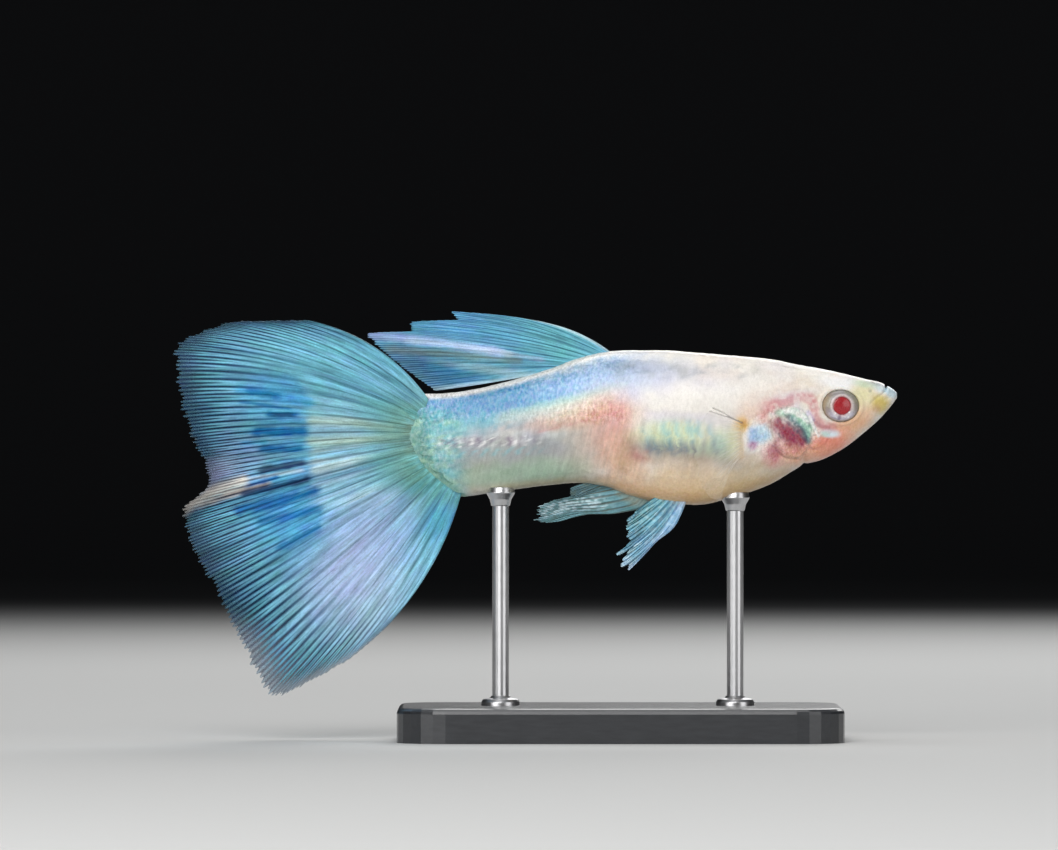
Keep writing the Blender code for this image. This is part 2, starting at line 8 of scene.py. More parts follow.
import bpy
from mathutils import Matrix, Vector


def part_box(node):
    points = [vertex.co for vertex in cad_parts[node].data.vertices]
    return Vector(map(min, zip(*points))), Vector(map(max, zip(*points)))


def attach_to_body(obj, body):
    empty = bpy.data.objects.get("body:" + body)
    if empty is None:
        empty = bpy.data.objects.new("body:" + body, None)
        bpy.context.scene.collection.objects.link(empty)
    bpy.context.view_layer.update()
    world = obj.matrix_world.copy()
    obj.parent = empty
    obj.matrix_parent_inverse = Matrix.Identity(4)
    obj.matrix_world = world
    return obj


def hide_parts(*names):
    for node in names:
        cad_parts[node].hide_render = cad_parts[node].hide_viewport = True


bl_info = {
    "name": "Fancy guppy model",
    "version": (1, 0, 0),
    "blender": (4, 5, 0),
    "location": "3D View > Sidebar > Guppy",
    "description": "Builds the skin, scales, eyes, fins, stand and stage of a still fancy guppy",
    "category": "Add Mesh",
}

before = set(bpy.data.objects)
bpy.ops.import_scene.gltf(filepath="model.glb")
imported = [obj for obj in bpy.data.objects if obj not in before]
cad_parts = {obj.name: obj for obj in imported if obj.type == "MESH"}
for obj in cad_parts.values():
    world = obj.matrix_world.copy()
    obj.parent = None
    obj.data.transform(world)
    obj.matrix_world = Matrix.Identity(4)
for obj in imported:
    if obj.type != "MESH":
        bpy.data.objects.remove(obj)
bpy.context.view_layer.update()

import math

import bpy
import numpy as np
from mathutils import Vector

MM = 0.001
SHARP = math.radians(62)

# The body's profile at each station from the tail root to the lips:
# place, height of the back, height of the belly, half width.
BODY_STATIONS = (
    (-15.0, 24.92, 17.30, 0.45),
    (-13.4, 24.92, 17.42, 0.62),
    (-11.7, 25.05, 17.52, 0.86),
    (-8.2, 25.78, 18.00, 1.28),
    (-4.8, 26.82, 18.43, 1.68),
    (-3.0, 27.50, 18.56, 1.90),
    (-1.0, 27.95, 18.30, 2.16),
    (0.6, 28.05, 17.70, 2.42),
    (3.0, 28.05, 17.12, 2.78),
    (5.6, 27.87, 16.98, 3.00),
    (8.2, 27.66, 17.56, 2.94),
    (10.8, 27.42, 18.43, 2.72),
    (12.5, 27.08, 19.42, 2.54),
    (13.3, 26.92, 19.88, 2.44),
    (14.3, 26.78, 20.12, 2.28),
    (16.0, 26.42, 20.95, 1.96),
    (17.7, 26.00, 22.25, 1.52),
    (18.7, 25.78, 23.14, 1.18),
    (19.3, 25.50, 23.80, 0.92),
    (19.7, 25.26, 24.30, 0.66),
    (19.94, 25.02, 24.66, 0.32),
)
WIDEST_STATIONS = ((-15.0, 0.50), (-4.8, 0.52), (5.6, 0.54), (12.5, 0.58), (19.94, 0.56))
SQUARE_STATIONS = ((-15.0, 2.0), (5.6, 2.1), (12.5, 2.5), (17.0, 2.7), (19.94, 2.2))
BELLY_SQUARE = 2.05
HEAD_REAR = 10.2
TRUNK_REAR = -4.7
STALK_END = -13.5
SNOUT_TIP = 19.86
SNOUT_CAP = 0.10

# The root of the tail fin is an arc: its top, its foot and how far it bulges to the rear.
TAIL_ROOT_TOP = -14.0
TAIL_ROOT_FOOT = -11.3
TAIL_ROOT_BULGE = 1.1

EYE_RADIUS = 1.39
EYE_HALF_HEIGHT = 1.18
EYE_DEPTH = 0.88
EYE_SQUARE = 2.6
EYE_TOE_IN = math.radians(12)

# The mouth line from its corner up to the notch between the lips: height, place.
MOUTH_LINE = ((24.15, 17.98), (24.45, 18.25), (24.80, 18.70), (25.05, 18.98), (25.25, 19.11), (25.70, 19.16))
NOSTRIL = (18.25, 0.78)
GILL_CENTRE = (12.45, 22.15)
GILL_REAR = 1.60
GILL_FRONT = 1.25
GILL_HALF_HEIGHT = 1.80

# The margins of the fins, from the end of the first ray to the end of the last: t, x, z.
TAIL_MARGIN = (
    (0.00, -22.6, 30.25),
    (0.07, -27.4, 30.20),
    (0.14, -30.2, 29.45),
    (0.20, -32.2, 28.05),
    (0.28, -31.8, 24.60),
    (0.36, -30.9, 21.60),
    (0.43, -29.9, 19.60),
    (0.47, -29.8, 18.50),
    (0.52, -31.6, 16.45),
    (0.58, -31.2, 14.60),
    (0.68, -29.5, 11.20),
    (0.77, -27.4, 7.00),
    (0.86, -24.9, 3.05),
    (0.92, -21.9, 4.40),
    (0.96, -19.4, 5.90),
    (1.00, -16.9, 8.10),
)
TAIL_BOW = ((0.0, -1.05), (0.2, -1.15), (0.42, -0.20), (0.7, 0.10), (1.0, 0.75))
TAIL_WAVES = 2.6
TAIL_WAVE_HEIGHT = 0.75
TAIL_FOLD_AT = 0.50
TAIL_FOLD_WIDTH = 0.035
TAIL_FOLD_HEIGHT = 0.9

DORSAL_MARGIN = (
    (0.00, -6.4, 30.20),
    (0.06, -9.2, 30.62),
    (0.13, -12.2, 30.85),
    (0.20, -11.8, 30.30),
    (0.33, -15.1, 30.10),
    (0.42, -15.2, 29.45),
    (0.58, -18.35, 29.25),
    (0.68, -17.5, 28.35),
    (0.78, -16.3, 27.30),
    (0.89, -14.9, 26.25),
    (1.00, -13.35, 25.16),
)
DORSAL_FRONT = -0.30
DORSAL_REAR = -4.10
DORSAL_BOW = ((0.0, -0.50), (0.12, -0.58), (0.4, -0.50), (0.8, -0.16), (1.0, 0.10))
DORSAL_LEAN = 0.55

ANAL_MARGIN = (
    (0.00, -5.2, 15.66),
    (0.12, -6.25, 15.80),
    (0.22, -6.0, 16.20),
    (0.34, -6.15, 16.60),
    (0.45, -5.3, 17.10),
    (0.58, -4.3, 17.30),
    (0.70, -2.9, 17.50),
    (0.82, -3.62, 17.60),
    (1.00, -3.6, 18.15),
)
ANAL_DROP = ((0.0, 0.0), (0.08, 0.38), (0.26, 0.56), (0.43, 0.66), (0.60, 0.67), (0.73, 0.76), (0.91, 0.96), (1.0, 1.0))
ANAL_FRONT = 2.6
ANAL_REAR = -1.40

PELVIC_MARGIN = (
    (0.00, 0.60, 12.20),
    (0.09, 0.55, 12.45),
    (0.17, -0.10, 12.45),
    (0.24, 0.20, 13.05),
    (0.31, 0.85, 13.85),
    (0.38, -0.38, 13.25),
    (0.45, 0.70, 14.25),
    (0.52, 0.46, 14.62),
    (0.60, 0.56, 14.92),
    (0.67, 0.38, 15.28),
    (0.75, 0.56, 15.50),
    (0.82, 0.48, 15.80),
    (0.90, 0.82, 16.02),
    (1.00, 1.20, 16.50),
)
PELVIC_FRONT = 4.85
PELVIC_REAR = 2.80
PELVIC_SIDE = 0.62
PELVIC_SPLAY = 1.1

PECTORAL_MARGIN = (
    (0.00, 6.40, 24.20),
    (0.20, 5.45, 23.00),
    (0.45, 4.90, 20.80),
    (0.70, 5.20, 18.80),
    (0.88, 6.10, 17.10),
    (1.00, 7.10, 16.75),
)
PECTORAL_ROOT = 8.75
PECTORAL_ROOT_TOP = 22.95
PECTORAL_ROOT_FOOT = 20.5
PECTORAL_STAND_OFF = 0.85
PECTORAL_FLARE = 0.9

# How deep a fin's root is sunk in the body.
ROOT_SINK = 0.35

CAMERA_PLACE = (-6.55, -800.0, 22.7)
CAMERA_LENS = 377.9


def linear(red, green, blue):
    """A colour as a screen shows it, 0 to 255, in linear light."""
    share = np.array((red, green, blue)) / 255
    return np.where(share <= 0.04045, share / 12.92, ((share + 0.055) / 1.055) ** 2.4)


PAINTS = {
    "pearl": linear(243, 238, 230),
    "white": linear(252, 250, 248),
    "cream": linear(240, 228, 204),
    "sand": linear(196, 178, 136),
    "gold": linear(212, 182, 112),
    "apricot": linear(252, 216, 170),
    "amber": linear(238, 198, 104),
    "orange": linear(206, 150, 98),
    "mustard": linear(208, 188, 90),
    "lemon": linear(230, 226, 172),
    "lime": linear(206, 230, 194),
    "salmon": linear(238, 152, 126),
    "peach": linear(234, 186, 150),
    "rose": linear(212, 138, 140),
    "crimson": linear(152, 52, 76),
    "magenta": linear(186, 96, 140),
    "plum": linear(84, 48, 84),
    "lilac": linear(200, 194, 226),
    "periwinkle": linear(168, 188, 234),
    "mauve": linear(128, 110, 134),
    "mint": linear(168, 212, 186),
    "green": linear(122, 168, 142),
    "teal": linear(78, 142, 150),
    "deep teal": linear(36, 88, 100),
    "aqua": linear(122, 194, 206),
    "ice": linear(194, 218, 230),
    "frost": linear(226, 242, 250),
    "mist": linear(114, 170, 202),
    "sky": linear(134, 184, 222),
    "azure": linear(76, 148, 200),
    "blue": linear(8, 84, 150),
    "steel": linear(72, 122, 150),
    "navy": linear(8, 38, 80),
    "slate": linear(112, 128, 142),
    "olive": linear(116, 122, 98),
    "dusk": linear(124, 132, 126),
    "tan": linear(186, 154, 116),
    "brown": linear(154, 118, 98),
    "ink": linear(20, 26, 34),
}


def smooth(table, place, column=1):
    """The table's values at each place, on a curve through its rows that never overshoots them."""
    rows = np.array(table, float)
    xs, ys = rows[:, 0], rows[:, column]
    widths = np.diff(xs)
    slopes = np.diff(ys) / widths
    product = slopes[:-1] * slopes[1:]
    total = np.where(product > 0, slopes[:-1] + slopes[1:], 1.0)
    inner = np.where(product > 0, 2 * product / total, 0.0)
    tangents = np.concatenate((slopes[:1], inner, slopes[-1:]))
    place = np.clip(place, xs[0], xs[-1])
    i = np.clip(np.searchsorted(xs, place) - 1, 0, len(slopes) - 1)
    u = (place - xs[i]) / widths[i]
    return (
        (2 * u**3 - 3 * u**2 + 1) * ys[i]
        + (u**3 - 2 * u**2 + u) * widths[i] * tangents[i]
        + (3 * u**2 - 2 * u**3) * ys[i + 1]
        + (u**3 - u**2) * widths[i] * tangents[i + 1]
    )


def ramp(value, low, high):
    """0 below low, 1 above high and a soft step between. low may be the greater one."""
    share = np.clip((value - low) / (high - low), 0.0, 1.0)
    return share * share * (3 - 2 * share)


def bump(value, centre, width):
    return np.exp(-(((value - centre) / width) ** 2))


def mottle(points, size, seed):
    """Soft random blotches of about the given size, from 0 to 1."""
    count = 24
    lattice = np.random.RandomState(seed).rand(count, count, count)
    scaled = points / size
    cell = np.floor(scaled).astype(int)
    share = scaled - cell
    share = share * share * (3 - 2 * share)
    total = np.zeros(len(points))
    for corner in range(8):
        step = np.array((corner & 1, corner >> 1 & 1, corner >> 2 & 1))
        weight = np.prod(np.where(step == 1, share, 1 - share), axis=1)
        index = (cell + step) % count
        total += weight * lattice[index[:, 0], index[:, 1], index[:, 2]]
    return total


def back(x):
    return smooth(BODY_STATIONS, x, 1)


def belly(x):
    return smooth(BODY_STATIONS, x, 2)


def section(x, sine):
    """Half width and height of the body's section at x. sine runs from -1, the belly, to 1, the back."""
    top, low = back(x), belly(x)
    middle = low + (top - low) * smooth(WIDEST_STATIONS, x)
    square = np.where(sine > 0, smooth(SQUARE_STATIONS, x), BELLY_SQUARE)
    reach = np.where(sine > 0, top - middle, middle - low)
    rise = np.sign(sine) * np.abs(sine) ** (2 / square)
    cosine = np.sqrt(np.maximum(0.0, 1 - sine * sine))
    return smooth(BODY_STATIONS, x, 3) * cosine ** (2 / square), middle + reach * rise


def flank(x, z):
    """The body's half width at the height z of its section at x."""
    top, low = back(x), belly(x)
    middle = low + (top - low) * smooth(WIDEST_STATIONS, x)
    square = np.where(z > middle, smooth(SQUARE_STATIONS, x), BELLY_SQUARE)
    reach = np.where(z > middle, top - middle, middle - low)
    share = np.minimum(1.0, np.abs(z - middle) / reach)
    return smooth(BODY_STATIONS, x, 3) * (1 - share**square) ** (1 / square)


def under(x, y):
    """The height of the body's underside at y from its middle plane."""
    top, low = back(x), belly(x)
    middle = low + (top - low) * smooth(WIDEST_STATIONS, x)
    share = np.minimum(1.0, np.abs(y) / smooth(BODY_STATIONS, x, 3))
    return middle - (middle - low) * (1 - share**BELLY_SQUARE) ** (1 / BELLY_SQUARE)


def tail_root_x(v):
    """Where the tail stalk ends. v runs from 0, its top, to 1, its foot."""
    return TAIL_ROOT_TOP + (TAIL_ROOT_FOOT - TAIL_ROOT_TOP) * v * v - TAIL_ROOT_BULGE * np.sin(np.pi * v)


def body_point(along, turn):
    """A point of the bare body. along is its place on the fish, and turn goes round it from the right side over
    the back, in even steps of its girth. Behind the trunk the rings lean to meet the tail fin's curved root."""
    tall = (back(along) - belly(along)) / 2
    wide = smooth(BODY_STATIONS, along, 3)
    angle = turn - (tall - wide) / (tall + wide) / 2 * np.sin(2 * turn)
    sine = np.sin(angle)
    rear = (along - TRUNK_REAR) / (STALK_END - TRUNK_REAR)
    leaning = TRUNK_REAR + (tail_root_x(0.5 - 0.5 * sine) - TRUNK_REAR) * rear
    x = np.where(along < TRUNK_REAR, leaning, along)
    half_width, z = section(x, sine)
    return np.stack((x, -np.sign(np.cos(angle)) * half_width, z), axis=-1)


def body_normal(along, turn):
    """The direction straight out of the body."""
    step = 0.02
    ahead = body_point(along + step, turn) - body_point(along - step, turn)
    round_it = body_point(along, turn + step) - body_point(along, turn - step)
    normal = np.cross(ahead, round_it)
    return normal / np.maximum(np.linalg.norm(normal, axis=-1, keepdims=True), 1e-9)


def eye_frame(side):
    """The eye's centre, and its directions out of the head, forwards and up. side is -1 on the right."""
    low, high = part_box("eye_left" if side > 0 else "eye_right")
    centre = np.array((low + high) / 2) / MM
    out = np.array((math.sin(EYE_TOE_IN), side * math.cos(EYE_TOE_IN), 0.0))
    forward = np.array((math.cos(EYE_TOE_IN), -side * math.sin(EYE_TOE_IN), 0.0))
    return centre, out, forward, np.array((0.0, 0.0, 1.0))


def eye_distance(points, side):
    """How far each point is from the eye's axis, in millimetres of its long radius, and how far out."""
    centre, out, forward, up = eye_frame(side)
    offset = points - centre
    across = np.hypot(offset @ forward, (offset @ up) * EYE_RADIUS / EYE_HALF_HEIGHT)
    return across, offset @ out


def gill_distance(x, z):
    """1 on the outline of the gill cover, and less inside it."""
    run = x - GILL_CENTRE[0]
    reach = np.where(run > 0, GILL_FRONT, GILL_REAR)
    return np.hypot(run / reach, (z - GILL_CENTRE[1]) / GILL_HALF_HEIGHT)


def mouth_distance(x, z):
    """How far up the mouth line a point is, from 0 at its corner to 1 on top, and how far ahead of the line."""
    low, high = MOUTH_LINE[0][0], MOUTH_LINE[-1][0]
    slope = (smooth(MOUTH_LINE, z + 0.02) - smooth(MOUTH_LINE, z - 0.02)) / 0.04
    return (z - low) / (high - low), (x - smooth(MOUTH_LINE, z)) / np.hypot(1.0, slope)


def relief(points, normals, shape):
    """The points of the body moved out and in for the folds, plates, lips and pits of the real skin."""
    x, y, z = points.T
    lift = shape.gill_raise / MM * ramp(gill_distance(x, z), 1.04, 0.97)
    slit = bump(gill_distance(x, z), 1.09, 0.045) * ramp(x, GILL_CENTRE[0] + 0.6, GILL_CENTRE[0] - 0.2)
    lift -= 0.11 * slit
    cheek = np.hypot((x - 14.05) / 1.05, (z - 22.35) / 1.35)
    lift += 0.05 * ramp(cheek, 1.05, 0.9) - 0.05 * bump(cheek, 1.08, 0.06) * ramp(x, 14.4, 13.9)
    along, ahead = mouth_distance(x, z)
    opening = ramp(along, -0.05, 0.15) * (0.16 + 0.84 * ramp(along, 0.45, 0.80))
    groove = shape.mouth_depth / MM * bump(ahead, 0.0, 0.075) * opening
    full = ramp(along, -0.1, 0.4) * ramp(back(x) - z, 0.02, 0.30)
    lift += 0.04 * (bump(ahead, 0.22, 0.13) + bump(ahead, -0.22, 0.13)) * full
    lift -= 0.025 * bump(ahead, 0.52, 0.10) * full
    pit = np.hypot(x - NOSTRIL[0], (np.abs(y) - NOSTRIL[1]) * 1.15)
    on_top = ramp(z, 24.8, 25.2)
    lift += on_top * (0.015 * bump(pit, 0.20, 0.07) - 0.16 * ramp(pit, 0.16, 0.06))
    shoulder = np.hypot((x - 9.0) / 0.42, (z - 21.5) / 1.25)
    lift += 0.16 * np.exp(-(shoulder**2.5))
    throat = belly(x) + 0.35
    lift -= 0.10 * bump(x, 13.25, 0.16) * ramp(z, throat + 0.9, throat)
    segments = np.sin((x + 0.45 * np.abs(z - 22.2)) * 2 * np.pi / 0.8)
    lift += 0.006 * segments * ramp(x, 9.0, 6.0) * ramp(np.abs(z - 22.3), 4.0, 2.5)
    moved = points + normals * lift[:, None] - normals * (0.0, 1.0, 1.0) * groove[:, None]
    for side in (-1, 1):
        across, out = eye_distance(moved, side)
        near = (np.abs(out) < 1.6) & (y * side > 0)
        rim = np.where(near, bump(across, EYE_RADIUS + 0.20, 0.14), 0.0)
        socket = np.where(near, ramp(across, EYE_RADIUS - 0.01, EYE_RADIUS - 0.15), 0.0)
        moved += normals * (shape.rim_height / MM * rim)[:, None]
        moved -= eye_frame(side)[1] * (shape.socket_depth / MM * socket)[:, None]
    return moved


def skin_point(along, turn, shape, height=0.0):
    """A point of the finished skin, or one that stands above it."""
    normals = body_normal(along, turn)
    return relief(body_point(along, turn), normals, shape) + normals * np.reshape(height, (-1, 1))


class Painter:
    """Colours laid one over another on points of the fish, by their place in its side view."""

    def __init__(self, points, base, seed=1):
        self.x, self.y, self.z = points.T
        self.points = points
        self.colour = np.tile(PAINTS[base], (len(points), 1))
        self.wobble = mottle(points, 0.45, seed) + 0.6 * mottle(points, 0.16, seed + 1) - 0.8

    def wash(self, paint, amount):
        """Lays a colour over all the points, each by its own amount."""
        colour = PAINTS[paint] if isinstance(paint, str) else np.array(paint)
        self.colour += (colour - self.colour) * np.clip(amount, 0, 1)[:, None]

    def spot(self, paint, place, reach, tilt=0.0, strength=1.0, edge=0.35, rough=0.5):
        """Lays a colour on an ellipse. reach is its two half widths, and tilt turns it nose down, in degrees."""
        turn = math.radians(tilt)
        run, rise = self.x - place[0], self.z - place[1]
        long = run * math.cos(turn) - rise * math.sin(turn)
        short = run * math.sin(turn) + rise * math.cos(turn)
        distance = np.hypot(long / reach[0], short / reach[1]) + rough * self.wobble * 0.5
        self.wash(paint, strength * ramp(distance, 1 + edge, 1 - edge))

    def line(self, paint, route, width, strength=1.0, edge=0.5, rough=0.3):
        """Lays a colour along a route of points, width to each side."""
        near = np.full(len(self.x), 1e9)
        for (x0, z0), (x1, z1) in zip(route, route[1:]):
            run, rise = x1 - x0, z1 - z0
            share = ((self.x - x0) * run + (self.z - z0) * rise) / (run * run + rise * rise)
            share = np.clip(share, 0, 1)
            near = np.minimum(near, np.hypot(self.x - x0 - share * run, self.z - z0 - share * rise))
        distance = near / width + rough * self.wobble
        self.wash(paint, strength * ramp(distance, 1 + edge, 1 - edge))

    def band(self, paint, rows, edge=0.75, rough=0.6):
        """Lays a colour along the body. Each row is a place, the band's height, its half width and strength."""
        centre, half, strength = (smooth(rows, self.x, column) for column in (1, 2, 3))
        distance = np.abs(self.z - centre) / half + rough * self.wobble
        inside = (self.x > rows[0][0] - 0.8) & (self.x < rows[-1][0] + 0.8)
        fade = ramp(self.x, rows[0][0] - 0.8, rows[0][0]) * ramp(self.x, rows[-1][0] + 0.8, rows[-1][0])
        self.wash(paint, np.where(inside, strength * fade * ramp(distance, 1 + edge, 1 - edge), 0.0))


# Soft blotches all over the body: colour, size, seed, strength.
BODY_MOTTLES = (
    ("lilac", 1.5, 71, 0.38),
    ("peach", 1.2, 73, 0.12),
    ("cream", 0.8, 75, 0.18),
    ("slate", 0.45, 77, 0.12),
)

# Bands along the body, painted in this order: colour, then rows of place, height, half width and strength.
BODY_BANDS = (
    ("peach", ((-10.2, 22.9, 0.5, 0.5), (-4.8, 23.1, 0.7, 0.6), (0.2, 24.2, 0.9, 0.5))),
    ("sky", ((-14.4, 23.7, 1.1, 0.9), (-11.7, 23.7, 1.3, 0.9), (-6.2, 24.7, 1.4, 0.9),
             (-0.7, 26.3, 1.4, 0.90), (2.1, 26.6, 1.2, 0.50), (5.0, 26.8, 0.9, 0.15))),
    ("azure", ((-14.2, 23.8, 0.8, 0.70), (-11.7, 23.9, 1.0, 0.85), (-8.8, 24.3, 1.1, 0.85),
               (-6.2, 24.8, 1.0, 0.75), (-3.5, 25.5, 0.9, 0.40), (-0.7, 26.2, 0.8, 0.15), (1.2, 26.5, 0.7, 0.0))),
    ("steel", ((-14.4, 23.9, 0.9, 0.30), (-9.0, 24.3, 0.9, 0.36), (-6.0, 24.8, 0.8, 0.28), (-3.0, 25.5, 0.7, 0.0))),
    ("periwinkle", ((-7.0, 25.0, 0.7, 0.0), (-4.5, 25.4, 0.8, 0.30), (-1.5, 26.1, 0.9, 0.15), (0.5, 26.5, 0.8, 0.0))),
    ("lilac", ((-4.5, 25.4, 0.9, 0.0), (-1.5, 26.2, 1.0, 0.20), (1.0, 26.5, 1.1, 0.40),
               (4.0, 26.2, 1.0, 0.35), (6.5, 26.2, 0.8, 0.15))),
    ("aqua", ((-14.4, 22.8, 0.6, 0.7), (-11.5, 22.7, 0.6, 0.7), (-7.5, 23.3, 0.40, 0.5), (-4.0, 24.2, 0.25, 0.20))),
    ("mint", ((-8.5, 23.4, 0.3, 0.3), (-4.0, 24.4, 0.35, 0.5), (0.1, 25.5, 0.35, 0.3))),
    ("cream", ((-8.5, 23.1, 0.4, 0.3), (-4.0, 23.8, 0.5, 0.6), (0.1, 25.0, 0.4, 0.3))),
    ("dusk", ((-12.2, 20.0, 1.4, 0.60), (-7.0, 20.3, 1.5, 0.60), (-3.5, 20.9, 1.5, 0.45), (-1.4, 21.2, 1.3, 0.15))),
    ("green", ((-13.0, 18.5, 0.9, 0.60), (-9.0, 18.8, 0.8, 0.50), (-4.5, 19.0, 0.7, 0.45), (-2.0, 19.1, 0.6, 0.10))),
    ("sand", ((-12.0, 18.9, 0.9, 0.25), (-6.0, 19.2, 0.9, 0.30), (-2.0, 19.4, 0.8, 0.20))),
    ("mint", ((-11.0, 19.0, 0.6, 0.25), (-5.5, 19.5, 0.8, 0.50), (-2.5, 19.7, 0.6, 0.25))),
    ("sand", ((-10.5, 17.9, 0.35, 0.4), (-3.0, 18.5, 0.35, 0.6), (1.0, 18.1, 0.9, 0.6), (4.0, 18.1, 1.5, 0.75),
              (8.0, 18.5, 1.4, 0.75), (11.5, 19.6, 0.9, 0.6), (13.2, 20.2, 0.5, 0.2))),
    ("gold", ((1.5, 17.6, 0.5, 0.5), (5.5, 17.4, 0.6, 0.6), (9.5, 18.3, 0.5, 0.5), (11.9, 19.2, 0.4, 0.3))),
    ("orange", ((-0.5, 18.2, 0.5, 0.40), (1.6, 17.8, 0.45, 0.55), (5.3, 17.35, 0.35, 0.45))),
    # Tan along the belly's lower edge: partly the belly's own colour, partly painted shade.
    ("tan", ((5.8, 17.1, 0.3, 0.5), (8.5, 17.8, 0.3, 0.5), (11.9, 19.2, 0.3, 0.4))),
    ("pearl", ((1.5, 24.0, 1.1, 0.3), (4.0, 24.2, 1.4, 0.80), (8.0, 24.6, 1.4, 0.80), (12.0, 25.6, 1.0, 0.6))),
    ("lilac", ((2.0, 23.3, 0.45, 0.3), (5.0, 23.0, 0.5, 0.35), (8.0, 23.0, 0.4, 0.15))),
)

# Spots on the body and head: colour, place, half widths, tilt in degrees, strength and softness of the edge.
BODY_SPOTS = (
    ("peach", (-0.9, 22.4), (2.2, 2.6), 0, 0.50, 0.8),
    ("rose", (-0.7, 22.6), (1.3, 1.9), 0, 0.42, 0.9),
    ("rose", (0.0, 23.0), (0.8, 0.9), 0, 0.30, 0.8),
    ("lilac", (0.6, 24.9), (1.2, 0.7), 20, 0.35, 0.7),
    ("peach", (0.3, 20.2), (1.5, 2.0), 0, 0.60, 0.7),
    ("tan", (0.4, 20.6), (0.55, 1.5), 8, 0.45, 0.7),
    ("brown", (0.75, 21.0), (0.30, 0.9), 0, 0.30, 0.7),
    ("dusk", (2.9, 21.1), (1.7, 0.80), 0, 0.85, 0.8),
    ("dusk", (5.8, 20.9), (1.7, 0.80), 0, 0.85, 0.8),
    ("slate", (2.4, 21.1), (0.9, 0.40), 0, 0.35, 0.8),
    ("slate", (5.8, 20.9), (1.1, 0.40), 0, 0.40, 0.8),
    ("slate", (7.7, 19.9), (1.1, 0.40), 8, 0.40, 0.7),
    ("rose", (1.4, 20.5), (0.7, 0.5), 0, 0.45, 0.8),
    ("crimson", (1.3, 20.35), (0.34, 0.28), 0, 0.35, 0.8),
    ("lime", (3.9, 22.2), (2.5, 0.80), 0, 0.75, 0.7),
    ("mint", (7.4, 21.2), (0.9, 1.1), 0, 0.60, 0.6),
    ("lemon", (8.1, 21.6), (0.45, 1.0), 0, 0.55, 0.6),
    ("tan", (5.0, 20.1), (4.2, 0.7), 0, 0.45, 0.8),
    ("apricot", (3.0, 18.0), (5.0, 1.3), -5, 0.55, 0.8),
    ("blue", (-10.2, 24.1), (3.6, 0.9), 3, 0.22, 0.9),
    ("olive", (9.8, 26.75), (0.30, 0.36), 10, 0.30, 0.9),
    ("peach", (10.4, 24.2), (1.6, 0.8), 0, 0.30, 0.9),
    ("peach", (12.6, 25.0), (1.8, 0.7), 5, 0.20, 0.9),
    ("cream", (14.0, 25.2), (2.0, 0.9), 8, 0.50, 0.8),
    ("white", (15.8, 25.75), (1.5, 0.45), 8, 0.95, 0.7),
    ("cream", (17.6, 24.5), (1.0, 1.1), 0, 0.60, 0.7),
    ("lemon", (17.4, 24.8), (0.8, 0.9), 0, 0.75, 0.7),
    ("cream", (16.9, 23.2), (1.2, 0.9), -30, 0.60, 0.7),
    ("peach", (16.6, 22.9), (1.2, 0.7), -35, 0.45, 0.8),
    ("tan", (14.35, 24.0), (0.34, 0.85), 0, 0.30, 0.9),
    ("orange", (16.1, 22.70), (1.2, 0.26), -8, 0.45, 0.9),
    ("gold", (17.0, 23.2), (1.3, 0.8), -38, 0.35, 0.9),
    ("mustard", (18.75, 24.25), (0.66, 0.66), 20, 0.90, 0.6),
    ("tan", (18.45, 23.85), (0.26, 0.26), 0, 0.50, 0.8),
    ("ice", (18.9, 25.3), (0.55, 0.30), 20, 0.60, 0.8),
    ("ice", (19.55, 25.05), (0.50, 0.34), 40, 0.80, 0.6),
    ("slate", (18.3, 25.7), (0.55, 0.14), 12, 0.45, 0.8),
    ("mint", (17.5, 25.65), (0.8, 0.22), 12, 0.45, 0.8),
    ("olive", (17.98, 25.15), (0.10, 0.10), 0, 0.50, 0.8),
    ("peach", (15.6, 22.0), (2.0, 0.9), -32, 0.60, 0.8),
    ("salmon", (14.9, 21.25), (1.7, 0.95), -27, 0.95, 0.6),
    ("peach", (17.2, 22.9), (1.4, 0.5), -42, 0.60, 0.8),
    ("peach", (14.0, 20.5), (1.3, 0.40), -20, 0.40, 0.8),
    ("peach", (12.6, 20.6), (1.3, 0.8), -15, 0.65, 0.8),
    ("salmon", (12.4, 21.3), (1.0, 0.9), -20, 0.45, 0.8),
    ("rose", (12.4, 21.0), (0.9, 0.5), -20, 0.30, 0.8),
    ("lilac", (12.4, 24.75), (1.6, 0.35), -14, 0.35, 0.9),
    ("rose", (10.25, 23.25), (0.36, 0.50), 0, 0.80, 0.8),
    ("salmon", (10.85, 24.1), (0.60, 0.40), 0, 0.38, 0.8),
    ("amber", (8.75, 22.75), (0.46, 0.52), 0, 0.95, 0.6),
    ("orange", (8.85, 22.80), (0.24, 0.26), 0, 0.30, 0.8),
    ("peach", (9.4, 23.4), (1.0, 0.6), 0, 0.35, 0.8),
    ("frost", (10.0, 22.05), (0.82, 0.70), 0, 0.85, 0.35),
    ("periwinkle", (9.5, 21.75), (0.32, 0.75), 0, 0.80, 0.6),
    ("sky", (10.05, 22.0), (0.60, 0.54), 0, 0.65, 0.6),
    ("frost", (10.2, 22.25), (0.26, 0.22), 0, 0.60, 0.8),
    ("rose", (11.0, 20.6), (0.74, 0.82), 0, 0.75, 0.6),
    ("crimson", (11.1, 20.8), (0.42, 0.48), 0, 0.50, 0.8),
    ("magenta", (9.55, 21.25), (0.36, 0.26), 0, 0.75, 0.7),
    ("frost", (15.05, 22.12), (0.66, 0.32), 5, 0.95, 0.5),
    ("mint", (14.7, 22.05), (0.30, 0.20), 0, 0.40, 0.6),
)

